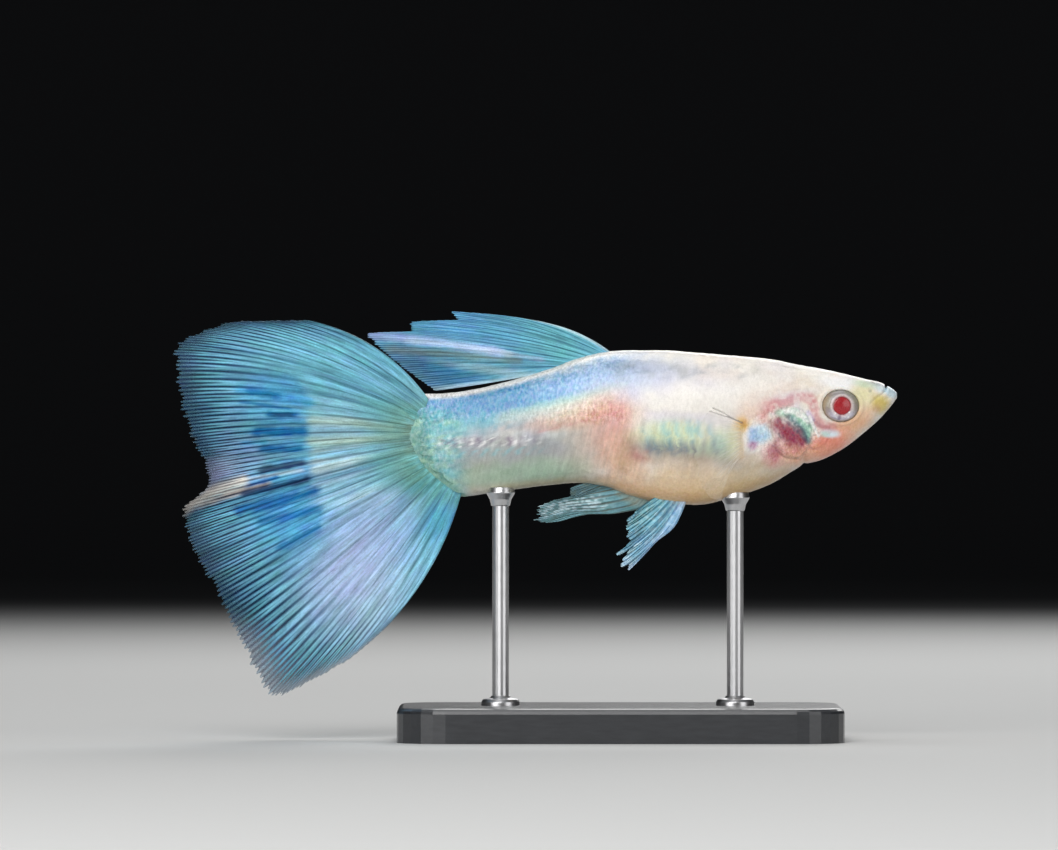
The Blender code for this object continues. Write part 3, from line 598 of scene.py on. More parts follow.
# Lines on the head and body: colour, route, half width, strength.
BODY_LINES = (
    ("rose", ((-5.8, 22.25), (-2.8, 22.97), (0.14, 23.7)), 0.07, 0.45),
    ("salmon", ((-5.8, 22.35), (-2.8, 23.1), (0.14, 23.9)), 0.40, 0.12),
    ("gold", ((8.78, 22.9), (8.57, 21.7), (8.78, 20.5)), 0.20, 0.45),
    ("mint", ((11.5, 23.5), (12.3, 23.55), (13.2, 23.0), (13.5, 22.45), (13.35, 22.05)), 0.36, 0.90),
    ("white", ((11.8, 23.65), (12.5, 23.65), (13.1, 23.3), (13.5, 22.9)), 0.15, 0.75),
    ("teal", ((12.1, 23.2), (12.9, 22.7), (13.35, 22.0), (13.5, 21.6)), 0.26, 0.70),
    ("deep teal", ((12.4, 22.95), (12.95, 22.4), (13.3, 21.8), (13.4, 21.55)), 0.14, 0.75),
    ("mint", ((12.8, 23.1), (13.4, 22.4), (13.55, 21.95)), 0.10, 0.60),
    ("crimson", ((11.40, 22.75), (11.85, 22.25), (12.5, 21.75)), 0.64, 0.90),
    ("crimson", ((12.0, 22.3), (12.6, 21.8), (13.05, 21.5)), 0.28, 0.85),
    ("plum", ((11.7, 23.1), (12.2, 22.75), (12.75, 22.25), (13.3, 21.6)), 0.10, 0.65),
    ("rose", ((10.5, 23.9), (11.8, 24.35), (13.0, 24.75), (13.7, 24.6)), 0.34, 0.62),
    ("rose", ((13.5, 24.6), (13.85, 24.2), (13.9, 23.5), (14.3, 22.8), (14.7, 22.6), (15.3, 22.55)), 0.32, 0.66),
    ("crimson", ((13.95, 23.0), (14.25, 22.65), (15.0, 22.5)), 0.13, 0.40),
    ("lilac", ((13.5, 23.6), (13.75, 23.1)), 0.18, 0.60),
    ("white", ((13.6, 23.3), (13.9, 22.6), (14.26, 21.9)), 0.09, 0.75),
    ("brown", ((10.8, 23.04), (10.87, 22.2), (11.23, 21.17), (12.02, 20.52), (12.82, 20.3)), 0.06, 0.45),
)


def paint_body(points, seed=1):
    """The colours of the skin and of the scales on it: red, green, blue, and how strongly they speckle,
    streak and shine."""
    painter = Painter(points, "pearl", seed)
    x, y, z = points.T
    depth = back(x) - z
    painter.wash("ice", 0.45 * ramp(x, -2.0, -7.0))
    for paint, size, seed, strength in BODY_MOTTLES:
        painter.wash(paint, strength * ramp(mottle(points, size, seed), 0.48, 0.80))
    for paint, rows in BODY_BANDS:
        painter.band(paint, rows)
    for paint, place, reach, tilt, strength, edge in BODY_SPOTS:
        painter.spot(paint, place, reach, tilt, strength, edge)
    for paint, route, width, strength in BODY_LINES:
        painter.line(paint, route, width, strength, 0.7, 0.6)
    bars = mottle(np.column_stack(((x + 0.25 * (z - 21.5)) / 0.20, y / 4, z / 1.6)), 1.0, 79)
    glow = ramp(np.hypot((x - 4.3) / 3.4, (z - 22.0) / 1.2), 1.1, 0.6)
    painter.wash("lemon", 0.40 * glow * ramp(bars, 0.55, 0.75))
    painter.wash("aqua", 0.42 * glow * ramp(bars, 0.45, 0.25))
    dark = ramp(np.abs(z - 21.05), 0.8, 0.3) * ramp(np.abs(x - 4.4), 3.4, 2.2)
    painter.wash("slate", 0.52 * dark * ramp(bars, 0.52, 0.34))
    painter.wash("lime", 0.35 * dark * ramp(bars, 0.56, 0.75))
    nape = ramp(x, -2.0, 0.5) * ramp(x, 10.2, 8.6) * ramp(np.abs(z - 26.65), 0.80, 0.30)
    painter.wash("slate", 0.34 * nape * ramp(mottle(points, 0.45, 47), 0.48, 0.74))
    painter.wash("olive", 0.28 * nape * ramp(mottle(points, 0.75, 49), 0.55, 0.80))
    end = ramp(x, -10.4, -13.2)
    painter.wash("dusk", 0.16 * ramp(x, 1.5, -3.0) * ramp(z, 24.0, 22.6))
    flecks = mottle(points, 0.28, 31)
    painter.wash("aqua", end * ramp(z, 23.9, 22.9) * 0.55)
    painter.wash("teal", end * ramp(z, 23.9, 22.9) * 0.30)
    painter.wash("mint", end * ramp(flecks, 0.45, 0.72) * ramp(z, 23.4, 22.8) * 0.75)
    painter.wash("aqua", end * ramp(mottle(points, 0.34, 37), 0.50, 0.74) * ramp(z, 24.4, 23.4) * 0.75)
    painter.wash("teal", end * ramp(mottle(points, 0.28, 39), 0.40, 0.22) * ramp(z, 24.4, 23.4) * 0.75)
    rim = x - tail_root_x(np.clip((back(-13.4) - z) / 7.5, 0, 1))
    painter.wash("teal", 0.55 * ramp(rim, 1.1, 0.1) * ramp(flecks, 0.65, 0.35) * ramp(z, 24.6, 23.8))
    painter.wash("green", 0.50 * ramp(rim, 1.0, 0.0) * ramp(z, 23.8, 22.8))
    row = 21.38 + 0.035 * (x + 13.0)
    lane = ramp(np.abs(z - row), 0.50, 0.20) * ramp(x, -4.8, -7.5) * ramp(x, -13.6, -12.6)
    beat = ((x + 0.8 * np.abs(z - row)) / 0.8 + 0.45 * painter.wobble) % 1.0
    patchy = 0.5 + 0.5 * ramp(mottle(points, 0.5, 41), 0.35, 0.65)
    # Chevrons along the tail stalk: the mauve marks are dark pigment at the scale edges, and the white ticks beside
    # them are painted glints.
    painter.wash("mauve", lane * ramp(np.abs(beat - 0.35), 0.32, 0.08) * 0.70 * patchy)
    painter.wash("white", lane * ramp(np.abs(beat - 0.82), 0.15, 0.05) * 0.75 * patchy)
    # A row of pale aqua ticks just below them: painted glints.
    below = ramp(np.abs(z - row + 0.75), 0.4, 0.15) * ramp(x, -4.5, -7.5) * ramp(x, -13.6, -12.6)
    painter.wash("aqua", below * ramp(np.abs(beat - 0.65), 0.25, 0.10) * 0.45)
    # A pale band along the top of the back, on the rear half of the body: a painted highlight.
    painter.wash("pearl", ramp(depth, 0.45, 0.15) * ramp(x, 1.5, -1.5) * 0.85)
    painter.wash("cream", ramp(depth, 1.4, 0.3) * ramp(x, 0.0, 3.0) * ramp(x, 16.0, 12.0) * 0.25)
    gill = ramp(np.hypot((x - 11.6) / 2.9, (z - 22.1) / 2.1), 1.1, 0.8)
    sparkle = mottle(points, 0.13, 43)
    bright = ramp(z - 22.9 + 0.9 * (x - 12.3), -0.4, 0.1) + ramp(x, 10.9, 10.5)
    painter.wash("white", 0.28 * gill * np.clip(bright, 0, 1) * ramp(sparkle, 0.62, 0.80) * ramp(z, 21.3, 21.8))
    painter.wash("deep teal", 0.40 * gill * ramp(sparkle, 0.38, 0.22) * ramp(z, 21.4, 21.9) * ramp(x, 10.8, 11.6))
    painter.wash("plum", 0.22 * gill * ramp(sparkle, 0.36, 0.20) * ramp(z, 20.6, 21.2) * ramp(z, 22.6, 21.8))
    broken = ramp(np.abs(x - 12.6), 3.0, 2.2) * ramp(z, 22.6, 23.2) * ramp(mottle(points, 0.22, 83), 0.48, 0.70)
    painter.wash("pearl", 0.42 * broken)
    speckle = 0.22 + 0.60 * ramp(x, 3.0, -3.0) * ramp(z, 22.4, 23.4) + 0.5 * end + 0.35 * gill
    streak = 0.15 + ramp(x, 9.0, 6.5) * ramp(np.abs(z - 21.0), 3.2, 1.4) * ramp(x, -13.0, -9.0)
    streak *= 1 - 0.55 * ramp(x, -0.5, 2.5) * ramp(z, 20.8, 19.8)
    shine = 0.30 * ramp(x, 4.0, -4.0) + 0.3 * ramp(np.hypot(x - 10, z - 22), 0.9, 0.5)
    finish = np.stack((speckle, streak, shine, np.ones(len(x))), axis=1)
    return painter.colour, np.clip(finish, 0, 1)


# The blue dashes across the tail fin: colour, route, half width and strength.
DASHES = (
    ("azure", ((-27.4, 25.20), (-24.6, 24.80), (-22.4, 24.30)), 0.32, 0.75),
    ("blue", ((-26.8, 25.12), (-24.7, 24.82)), 0.22, 0.65),
    ("blue", ((-27.3, 24.40), (-23.8, 23.86)), 0.10, 0.60),
    ("blue", ((-25.3, 23.45), (-23.4, 23.40)), 0.22, 0.80),
    ("navy", ((-24.9, 23.45), (-23.7, 23.42)), 0.14, 0.60),
    ("blue", ((-26.2, 22.20), (-22.8, 22.26)), 0.28, 0.85),
    ("azure", ((-27.2, 21.40), (-25.6, 21.50)), 0.16, 0.70),
    ("blue", ((-25.8, 20.95), (-23.0, 20.97)), 0.22, 0.80),
    ("navy", ((-25.8, 19.41), (-24.3, 19.72), (-22.9, 19.96)), 0.24, 0.88),
    ("blue", ((-26.9, 18.30), (-24.7, 18.94)), 0.14, 0.80),
    ("navy", ((-27.1, 17.77), (-24.8, 18.25), (-22.5, 18.80)), 0.22, 0.88),
    ("blue", ((-27.4, 16.60), (-25.0, 17.00), (-22.0, 17.95)), 0.34, 0.85),
    ("blue", ((-25.8, 15.75), (-21.7, 16.65)), 0.30, 0.70),
    ("blue", ((-24.4, 13.90), (-21.8, 15.30)), 0.26, 0.65),
)


def paint_tail(fan):
    """The tail fin's colours on its rays and in the gaps between them."""
    rays = Painter(fan.points, "mist", 5)
    gaps = Painter(fan.points, "steel", 7)
    x, z, s, t = rays.x, rays.z, fan.s, fan.t
    broad = fan.streaks(26, 3.0, 61)
    fine = fan.streaks(90, 5.0, 62)
    rays.spot("mint", (-15.6, 20.6), (3.4, 4.4), 0, 0.30, 0.7)
    rays.spot("dusk", (-14.9, 21.6), (1.8, 2.6), 0, 0.45, 0.7)
    rays.spot("sky", (-18.0, 10.6), (4.2, 6.2), 33, 0.85, 0.7)
    rays.spot("periwinkle", (-18.8, 12.6), (1.9, 4.6), 33, 0.70, 0.8)
    rays.spot("olive", (-14.6, 22.6), (1.6, 2.4), 0, 0.30, 0.8)
    rays.spot("periwinkle", (-27.8, 20.5), (2.6, 2.4), 0, 0.40, 0.7)
    rays.spot("periwinkle", (-20.5, 17.5), (2.2, 2.4), -30, 0.40, 0.7)
    rays.spot("aqua", (-20.0, 27.0), (5.0, 2.2), 14, 0.35, 0.7)
    rays.spot("aqua", (-23.0, 7.0), (4.0, 3.6), 40, 0.35, 0.7)
    rays.spot("green", (-13.6, 18.6), (1.9, 2.4), 0, 0.70, 0.6)
    rays.spot("teal", (-14.6, 18.2), (1.4, 1.4), 0, 0.35, 0.6)
    rays.spot("azure", (-12.9, 15.7), (1.2, 1.5), 0, 0.80, 0.6)
    gaps.spot("olive", (-15.8, 21.6), (2.8, 3.2), 0, 0.75, 0.6)
    gaps.spot("olive", (-19.6, 21.0), (3.2, 1.8), 0, 0.70, 0.6)
    gaps.spot("teal", (-22.0, 27.5), (6.0, 2.4), 8, 0.45, 0.7)
    gaps.spot("sky", (-20.0, 12.0), (4.5, 5.5), 30, 0.45, 0.7)
    pale = ramp(x, -22.7, -22.0) * ramp(s, 0.16, 0.34) * ramp(np.abs(z - 20.8), 4.6, 3.0)
    rays.wash("ice", 0.30 * pale)
    rays.wash("lemon", 0.22 * pale * ramp(broad, 0.40, 0.62))
    for paint, seed, strength in (("aqua", 66, 0.35), ("sky", 67, 0.45), ("steel", 68, 0.55)):
        rays.wash(paint, strength * ramp(fan.streaks(70, 3.0, seed), 0.50, 0.80))
    rays.line("lime", ((-22.2, 23.0), (-19.5, 22.95), (-16.5, 22.5)), 0.30, 0.45, 0.9)
    rays.line("lime", ((-22.4, 21.5), (-19.0, 21.7), (-16.0, 21.75)), 0.28, 0.45, 0.9)
    soften = ramp(fan.streaks(60, 1.2, 73), 0.38, 0.62)
    shade = (0.52 + 0.36 * soften + 0.08 * ramp(z, 18.0, 12.0))[:, None]
    gaps.colour += (shade * rays.colour - gaps.colour) * (0.90 * ramp(s, 0.92, 0.40))[:, None]
    for layer, share in ((rays, 0.55), (gaps, 0.40)):
        layer.spot("periwinkle", (-19.6, 12.8), (3.0, 4.8), 35, 0.8 * share, 0.8)
        layer.spot("lilac", (-19.5, 12.4), (2.0, 4.0), 35, 0.6 * share, 0.9)
        layer.spot("frost", (-17.6, 9.4), (1.8, 3.6), 35, 0.5 * share, 0.9)
    jitter = 0.9 * (fan.streaks(60, 0.6, 72) - 0.5)
    front = -22.75 + 0.14 * (24.5 - z) + jitter
    patch = ramp(x, front + 0.35, front - 0.35) * ramp(x, -28.6 + 2 * jitter, -25.4) * ramp(np.abs(z - 20.4), 7.0, 4.6)
    for layer, share in ((rays, 0.85), (gaps, 1.0)):
        layer.wash("azure", 0.50 * share * patch * ramp(fine + 0.4 * broad, 0.25, 0.80))
        layer.wash("blue", 0.25 * share * patch * ramp(fan.streaks(60, 2.0, 75), 0.45, 0.65))
        layer.spot("azure", (-24.0, 15.8), (2.6, 2.2), -25, 0.55 * share, 0.7)
        layer.line("periwinkle", ((-31.0, 18.6), (-28.4, 19.6), (-26.4, 20.3)), 0.8, 0.45 * share, 0.9, 0.4)
        layer.line("cream", ((-31.6, 16.5), (-30.2, 17.5), (-28.8, 18.3), (-27.2, 18.75)), 0.26, 0.62 * share, 0.9, 0.7)
        layer.line("cream", ((-27.2, 18.75), (-25.0, 19.1), (-22.9, 19.45)), 0.13, 0.30 * share, 0.9, 0.6)
        layer.line("tan", ((-30.0, 17.0), (-28.4, 17.6), (-25.4, 18.5)), 0.24, 0.75 * share, 0.9, 0.7)
        for paint, route, width, strength in DASHES:
            layer.line(paint, route, 1.1 * width, min(1.2 * strength, 1.0) * share, 0.7, 0.8)
    edge = ramp(s, 0.55, 0.88) * ramp(t, 0.99, 0.90) * ramp(t, 0.0, 0.03)
    gaps.wash("navy", 0.95 * edge)
    rays.wash("steel", 0.60 * ramp(s, 0.76, 1.0))
    rays.wash("slate", 0.35 * ramp(s, 0.88, 1.0))
    rays.wash("navy", 0.30 * ramp(s, 0.90, 1.0))
    for layer, share in ((rays, 0.46), (gaps, 0.34)):
        layer.line("lilac", ((-32.0, 17.4), (-30.4, 18.8), (-28.4, 19.6)), 0.9, 0.6 * share, 0.9, 0.5)
        layer.line("cream", ((-32.2, 16.1), (-30.6, 17.2), (-29.0, 18.0), (-27.2, 18.6)), 0.42, share, 0.9, 0.6)
    flecks = mottle(fan.points, 0.24, 69)
    root = ramp(s, 0.14, 0.03)
    for layer in (rays, gaps):
        layer.wash("teal", 0.50 * ramp(s, 0.34, 0.12) * ramp(z, 25.6, 24.2) * ramp(z, 17.6, 18.8))
        layer.wash("green", 0.40 * ramp(s, 0.26, 0.06) * ramp(z, 24.8, 23.8) * ramp(z, 18.0, 19.2))
        layer.wash("teal", 0.60 * root * ramp(flecks, 0.60, 0.35) * ramp(z, 24.4, 23.6))
        layer.wash("aqua", 0.60 * root * ramp(flecks, 0.55, 0.75))
        layer.wash("olive", 0.45 * root * ramp(np.abs(z - 21.8), 1.8, 0.6))
    # Broad lighter and darker bands along the rays: painted shade of the fin's soft folds. The fine streaks are the
    # rays' own tone.
    rays.colour *= 1 + 0.40 * (fine - 0.5)[:, None] + 0.25 * (broad - 0.5)[:, None]
    gaps.colour *= 1 + 0.25 * (broad - 0.5)[:, None]
    return rays.colour, gaps.colour, (1 - 0.68 * ramp(s, 0.86, 1.0), 0.96 - 0.46 * ramp(s, 0.66, 1.0))


def paint_dorsal(fan):
    """The dorsal fin's colours: blue, with a pale band and an olive streak above the dark rear rays."""
    rays = Painter(fan.points, "mist", 9)
    gaps = Painter(fan.points, "azure", 11)
    s, t = fan.s, fan.t
    fine = fan.streaks(40, 4.0, 63)
    rays.spot("aqua", (-4.8, 28.8), (3.0, 1.4), 25, 0.80, 0.7)
    rays.spot("sky", (-10.5, 29.6), (3.4, 0.9), 5, 0.60, 0.7)
    rays.spot("azure", (-10.0, 29.4), (3.2, 0.7), 5, 0.35, 0.8)
    gaps.spot("deep teal", (-4.6, 28.4), (3.6, 1.7), 25, 0.74, 0.6)
    gaps.spot("blue", (-11.0, 29.6), (2.5, 0.6), 5, 0.30, 0.7)
    shade = (0.45 + 0.45 * ramp(fan.streaks(34, 1.2, 74), 0.40, 0.62))[:, None]
    gaps.colour += (shade * rays.colour - gaps.colour) * (0.55 * ramp(s, 0.98, 0.40))[:, None]
    for layer, share in ((rays, 0.8), (gaps, 1.0)):
        layer.wash("steel", 0.30 * ramp(fan.streaks(30, 3.0, 70), 0.50, 0.78))
        layer.spot("teal", (-10.8, 27.0), (4.8, 0.75), 10, 0.50 * share, 0.7)
        layer.spot("blue", (-13.2, 26.8), (3.2, 1.1), 18, 0.62 * share, 0.7)
        layer.spot("navy", (-13.9, 26.6), (2.6, 0.9), 18, 0.40 * share, 0.9)
        layer.line("olive", ((-16.6, 28.15), (-14.4, 28.0), (-11.0, 27.75), (-7.4, 27.35)), 0.28, 0.60 * share, 0.9, 0.8)
        layer.line("periwinkle", ((-18.2, 29.25), (-15.8, 28.95), (-13.0, 28.65), (-10.1, 28.2), (-8.6, 27.9)), 0.30, 0.85, 0.8)
        layer.line("lilac", ((-10.6, 28.3), (-7.4, 27.75), (-5.6, 27.4)), 0.14, 0.32, 0.8, 0.7)
        layer.line("frost", ((-15.4, 28.8), (-12.2, 28.5), (-8.0, 27.85)), 0.18, 0.28, 0.9, 1.2)
        layer.spot("ice", (-7.9, 26.45), (4.6, 0.28), 9, 0.42, 0.9)
        layer.wash("ice", 0.85 * np.maximum(ramp(t, 0.05, 0.01), 0.8 * ramp(t, 0.96, 1.0)))
        layer.colour *= 1 + 0.45 * (fine - 0.5)[:, None]
    rays.wash("slate", 0.35 * ramp(s, 0.80, 1.0) * ramp(t, 0.45, 0.65))
    gaps.wash("navy", 0.35 * ramp(s, 0.75, 1.0) * ramp(t, 0.45, 0.65))
    return rays.colour, gaps.colour, 0.05 + 0.20 * ramp(s, 0.6, 1.0)


def paint_pelvic(fan):
    """The pelvic fins' colours: lavender in front, blue in the middle and teal behind, with pale tips."""
    rays = Painter(fan.points, "ice", 13)
    gaps = Painter(fan.points, "steel", 15)
    s, t = fan.s, fan.t
    flecks = mottle(fan.points, 0.14, 25)
    rays.wash("aqua", 0.60 + 0.0 * s)
    rays.wash("sky", 0.50 * ramp(t, 0.75, 0.45))
    rays.wash("periwinkle", 0.60 * ramp(t, 0.24, 0.04))
    rays.wash("steel", 0.30 * ramp(t, 0.5, 0.95))
    gaps.wash("periwinkle", 0.45 * ramp(t, 0.35, 0.05))
    gaps.wash("teal", 0.60 * ramp(t, 0.30, 0.55))
    gaps.wash("deep teal", 0.75 * ramp(t, 0.30, 0.55) * ramp(np.abs(s - 0.6), 0.40, 0.15))
    gaps.wash("navy", 0.40 * ramp(s, 0.60, 0.95))
    rays.wash("frost", 0.50 * ramp(s, 0.80, 1.0) * ramp(t, 0.45, 0.30))
    gaps.colour += (0.62 * rays.colour - gaps.colour) * (0.40 * ramp(s, 0.8, 0.3))[:, None]
    for layer in (rays, gaps):
        layer.wash("azure", 0.25 * ramp(flecks, 0.55, 0.75))
        layer.wash("frost", 0.22 * ramp(flecks, 0.45, 0.25))
        layer.wash("sand", 0.40 * ramp(s, 0.16, 0.02))
        layer.colour *= 0.85 + 0.30 * fan.streaks(16, 4.0, 65)[:, None]
    return rays.colour, gaps.colour, 0.12 + 0.35 * s


def paint_anal(fan):
    """The anal fin's colours: grey green with white glints on its long rays, darker on the short rear ones."""
    rays = Painter(fan.points, "mist", 17)
    gaps = Painter(fan.points, "dusk", 19)
    s, t = fan.s, fan.t
    flecks = mottle(fan.points, 0.16, 27)
    rays.wash("green", 0.40 + 0.0 * s)
    rays.wash("slate", 0.30 + 0.15 * ramp(t, 0.35, 0.9))
    rays.wash("frost", 0.60 * ramp(np.abs(t - 0.30), 0.22, 0.06) * ramp(s, 0.2, 0.4) * ramp(flecks, 0.40, 0.65))
    gaps.wash("olive", 0.4 * ramp(s, 0.6, 0.2))
    gaps.wash("deep teal", 0.60 * ramp(s, 0.3, 0.9))
    gaps.colour += (0.60 * rays.colour - gaps.colour) * (0.60 * ramp(t, 0.55, 0.35))[:, None]
    for layer in (rays, gaps):
        layer.wash("dusk", 0.40 * ramp(t, 0.46, 0.60))
        layer.wash("deep teal", 0.42 * ramp(t, 0.46, 0.60))
        layer.wash("olive", 0.30 * ramp(flecks, 0.45, 0.25))
        layer.wash("sand", 0.30 * ramp(s, 0.18, 0.04))
        layer.colour *= 0.80 + 0.35 * fan.streaks(20, 5.0, 64)[:, None]
    return rays.colour, gaps.colour, 0.10 + 0.35 * s


def paint_pectoral(fan):
    """Clear skin with thin rays, of which only the front two are dark. Its root is orange."""
    rays = Painter(fan.points, "pearl", 21)
    gaps = Painter(fan.points, "pearl", 23)
    s, t = fan.s, fan.t
    front = ramp(t, 0.12, 0.06)
    rays.wash("olive", 0.20 + 0.0 * s)
    rays.wash("ink", 0.60 * front)
    for layer in (rays, gaps):
        layer.wash("amber", 0.7 * ramp(s, 0.14, 0.02))
    ray_alpha = np.clip(0.05 + 0.12 * ramp(s, 0.80, 0.35) + 0.45 * front, 0, 1)
    return rays.colour, gaps.colour, (ray_alpha, 0.05 + 0.0 * s)


def link_object(name, mesh):
    obj = bpy.data.objects.new(name, mesh)
    bpy.context.scene.collection.objects.link(obj)
    return obj


def grid_faces(rows, columns, wrap=False):
    """The quads of a grid of points, numbered row by row."""
    across = columns if wrap else columns - 1
    i, j = np.meshgrid(np.arange(rows - 1), np.arange(across), indexing="ij")
    after = (j + 1) % columns
    corners = (i * columns + j, i * columns + after, (i + 1) * columns + after, (i + 1) * columns + j)
    return np.stack(corners, axis=-1).reshape(-1, 4)


def volume(points, faces):
    """The volume that the faces shut in. It is below zero where they point inwards."""
    total = 0.0
    for face in faces:
        if len(face):
            corners = points[np.asarray(face)]
            for k in range(1, corners.shape[1] - 1):
                cross = np.cross(corners[:, k], corners[:, k + 1])
                total += np.einsum("ij,ij->", corners[:, 0], cross) / 6
    return total


def solid(name, points, quads, triangles, material):
    """A closed piece with its faces pointing out. points are in millimetres."""
    if volume(points, (quads, triangles)) < 0:
        quads = quads[:, ::-1]
        triangles = triangles[:, ::-1]
    mesh = bpy.data.meshes.new(name)
    mesh.from_pydata((points * MM).tolist(), [], quads.tolist() + triangles.tolist())
    mesh.shade_smooth()
    mesh.set_sharp_from_angle(angle=SHARP)
    mesh.materials.append(material)
    if 2 * len(quads) + len(triangles) > 200000:
        raise RuntimeError(f"{name} has too many triangles")
    return link_object(name, mesh)


def store(mesh, name, values):
    """Keeps four numbers for each point under a name that the material reads."""
    layer = mesh.attributes.new(name, "FLOAT_COLOR", "POINT")
    layer.data.foreach_set("color", np.ascontiguousarray(values, dtype=np.float32).ravel())


def store_paint(mesh, colour, opacity=None):
    alpha = np.ones(len(colour)) if opacity is None else opacity
    store(mesh, "paint", np.column_stack((colour, alpha)))


def store_map(mesh, name, places):
    """A UV map from one place for each point."""
    corners = np.empty(len(mesh.loops), dtype=np.int32)
    mesh.loops.foreach_get("vertex_index", corners)
    layer = mesh.uv_layers.new(name=name)
    layer.data.foreach_set("uv", places[corners].astype(np.float32).ravel())


def attach(obj, slot_name, *nodes):
    """Fixes a finished piece to the model, in place of the plain solids that it stands for."""
    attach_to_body(obj, "root")
    if nodes:
        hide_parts(*nodes)
    return obj


class Recipe:
    """A material, with a short way to add and join its nodes."""

    def __init__(self, name):
        self.material = bpy.data.materials.new(name)
        self.material.use_nodes = True
        self.tree = self.material.node_tree
        self.shader = self.tree.nodes["Principled BSDF"]

    def add(self, kind, inputs=None, **settings):
        node = self.tree.nodes.new(kind)
        for key, value in settings.items():
            setattr(node, key, value)
        for key, value in (inputs or {}).items():
            self.join(value, node.inputs[key])
        return node

    def join(self, value, socket):
        if isinstance(value, bpy.types.NodeSocket):
            self.tree.links.new(value, socket)
        else:
            socket.default_value = value

    def set(self, **values):
        """Sets the shader's inputs. A name's underscores stand for spaces."""
        for key, value in values.items():
            self.join(value, self.shader.inputs[key.replace("_", " ")])

    def maths(self, operation, first, second, third=0.0):
        return self.add("ShaderNodeMath", {0: first, 1: second, 2: third}, operation=operation).outputs[0]

    def attribute(self, name):
        return self.add("ShaderNodeAttribute", attribute_name=name)

    def place(self, stretch=(1, 1, 1), lean=0.0):
        """Object coordinates in millimetres, leaned in the side view and then stretched along each axis."""
        source = self.add("ShaderNodeTexCoord").outputs["Object"]
        turned = self.add("ShaderNodeMapping", {"Vector": source, "Rotation": (0, math.radians(lean), 0)}).outputs[0]
        scale = [share / MM for share in stretch]
        return self.add("ShaderNodeMapping", {"Vector": turned, "Scale": scale}).outputs[0]

    def noise(self, scale, detail=2.0, stretch=(1, 1, 1), vector=None, lean=0.0):
        """Noise about 0, from -0.5 to 0.5. scale is in blotches to the millimetre."""
        vector = vector or self.place(stretch, lean)
        inputs = {"Vector": vector, "Scale": scale, "Detail": detail}
        return self.maths("SUBTRACT", self.add("ShaderNodeTexNoise", inputs).outputs[0], 0.5)

    def cells(self, scale, stretch=(1, 1, 1)):
        inputs = {"Vector": self.place(stretch), "Scale": scale}
        return self.add("ShaderNodeTexVoronoi", inputs).outputs["Distance"]

    def tint(self, colour, hue=0.5, saturation=1.0, value=1.0):
        inputs = {"Color": colour, "Hue": hue, "Saturation": saturation, "Value": value}
        return self.add("ShaderNodeHueSaturation", inputs).outputs[0]

    def blend(self, share, first, second):
        node = self.add("ShaderNodeMix", data_type="RGBA")
        for socket, value in zip((node.inputs[0], node.inputs[6], node.inputs[7]), (share, first, second)):
            self.join(value, socket)
        return node.outputs[2]

    def relief(self, height, distance, strength=1.0):
        inputs = {"Height": height, "Distance": distance * MM, "Strength": strength}
        self.set(Normal=self.add("ShaderNodeBump", inputs).outputs[0])


def flesh_material(name, bump_height, depth):
    """Pearly skin: painted colours, broken up by fine pigment specks and streaks, under a wet gloss."""
    recipe = Recipe(name)
    paint = recipe.attribute("paint").outputs["Color"]
    finish = recipe.add("ShaderNodeSeparateColor", {"Color": recipe.attribute("finish").outputs["Color"]})
    specks = recipe.noise(5.5, 3.0, (1.0, 1.0, 0.55))
    grains = recipe.noise(12.0, 2.0)
    streaks = recipe.noise(1.0, 3.0, (3.6, 1.0, 0.5), lean=-14)
    value = recipe.maths("MULTIPLY_ADD", recipe.maths("MULTIPLY", specks, finish.outputs[0]), 1.3, 1.0)
    value = recipe.maths("MULTIPLY_ADD", recipe.maths("MULTIPLY", grains, finish.outputs[0]), 0.9, value)
    value = recipe.maths("MULTIPLY_ADD", recipe.maths("MULTIPLY", streaks, finish.outputs[1]), 0.60, value)
    value = recipe.maths("MULTIPLY_ADD", grains, 0.10, value)
    drift = recipe.noise(3.0, 2.0)
    hue = recipe.maths("MULTIPLY_ADD", recipe.maths("MULTIPLY", drift, finish.outputs[0]), 0.14, 0.495)
    pale = recipe.maths("MULTIPLY_ADD", recipe.maths("MULTIPLY", specks, finish.outputs[0]), -1.6, 1.03)
    recipe.set(
        Base_Color=recipe.tint(paint, hue, pale, value),
        Metallic=recipe.maths("MULTIPLY", finish.outputs[2], 0.4),
        Roughness=recipe.maths("MULTIPLY_ADD", specks, 0.25, 0.38),
        Specular_IOR_Level=0.5,
        Coat_Weight=0.22,
        Coat_Roughness=0.2,
        Subsurface_Weight=depth,
        Subsurface_Scale=0.00025,
        Subsurface_Radius=(1.0, 0.6, 0.45),
    )
    height = recipe.maths("ADD", recipe.maths("MULTIPLY", specks, 0.5), grains)
    recipe.relief(height, bump_height, 0.5)
    return recipe.material


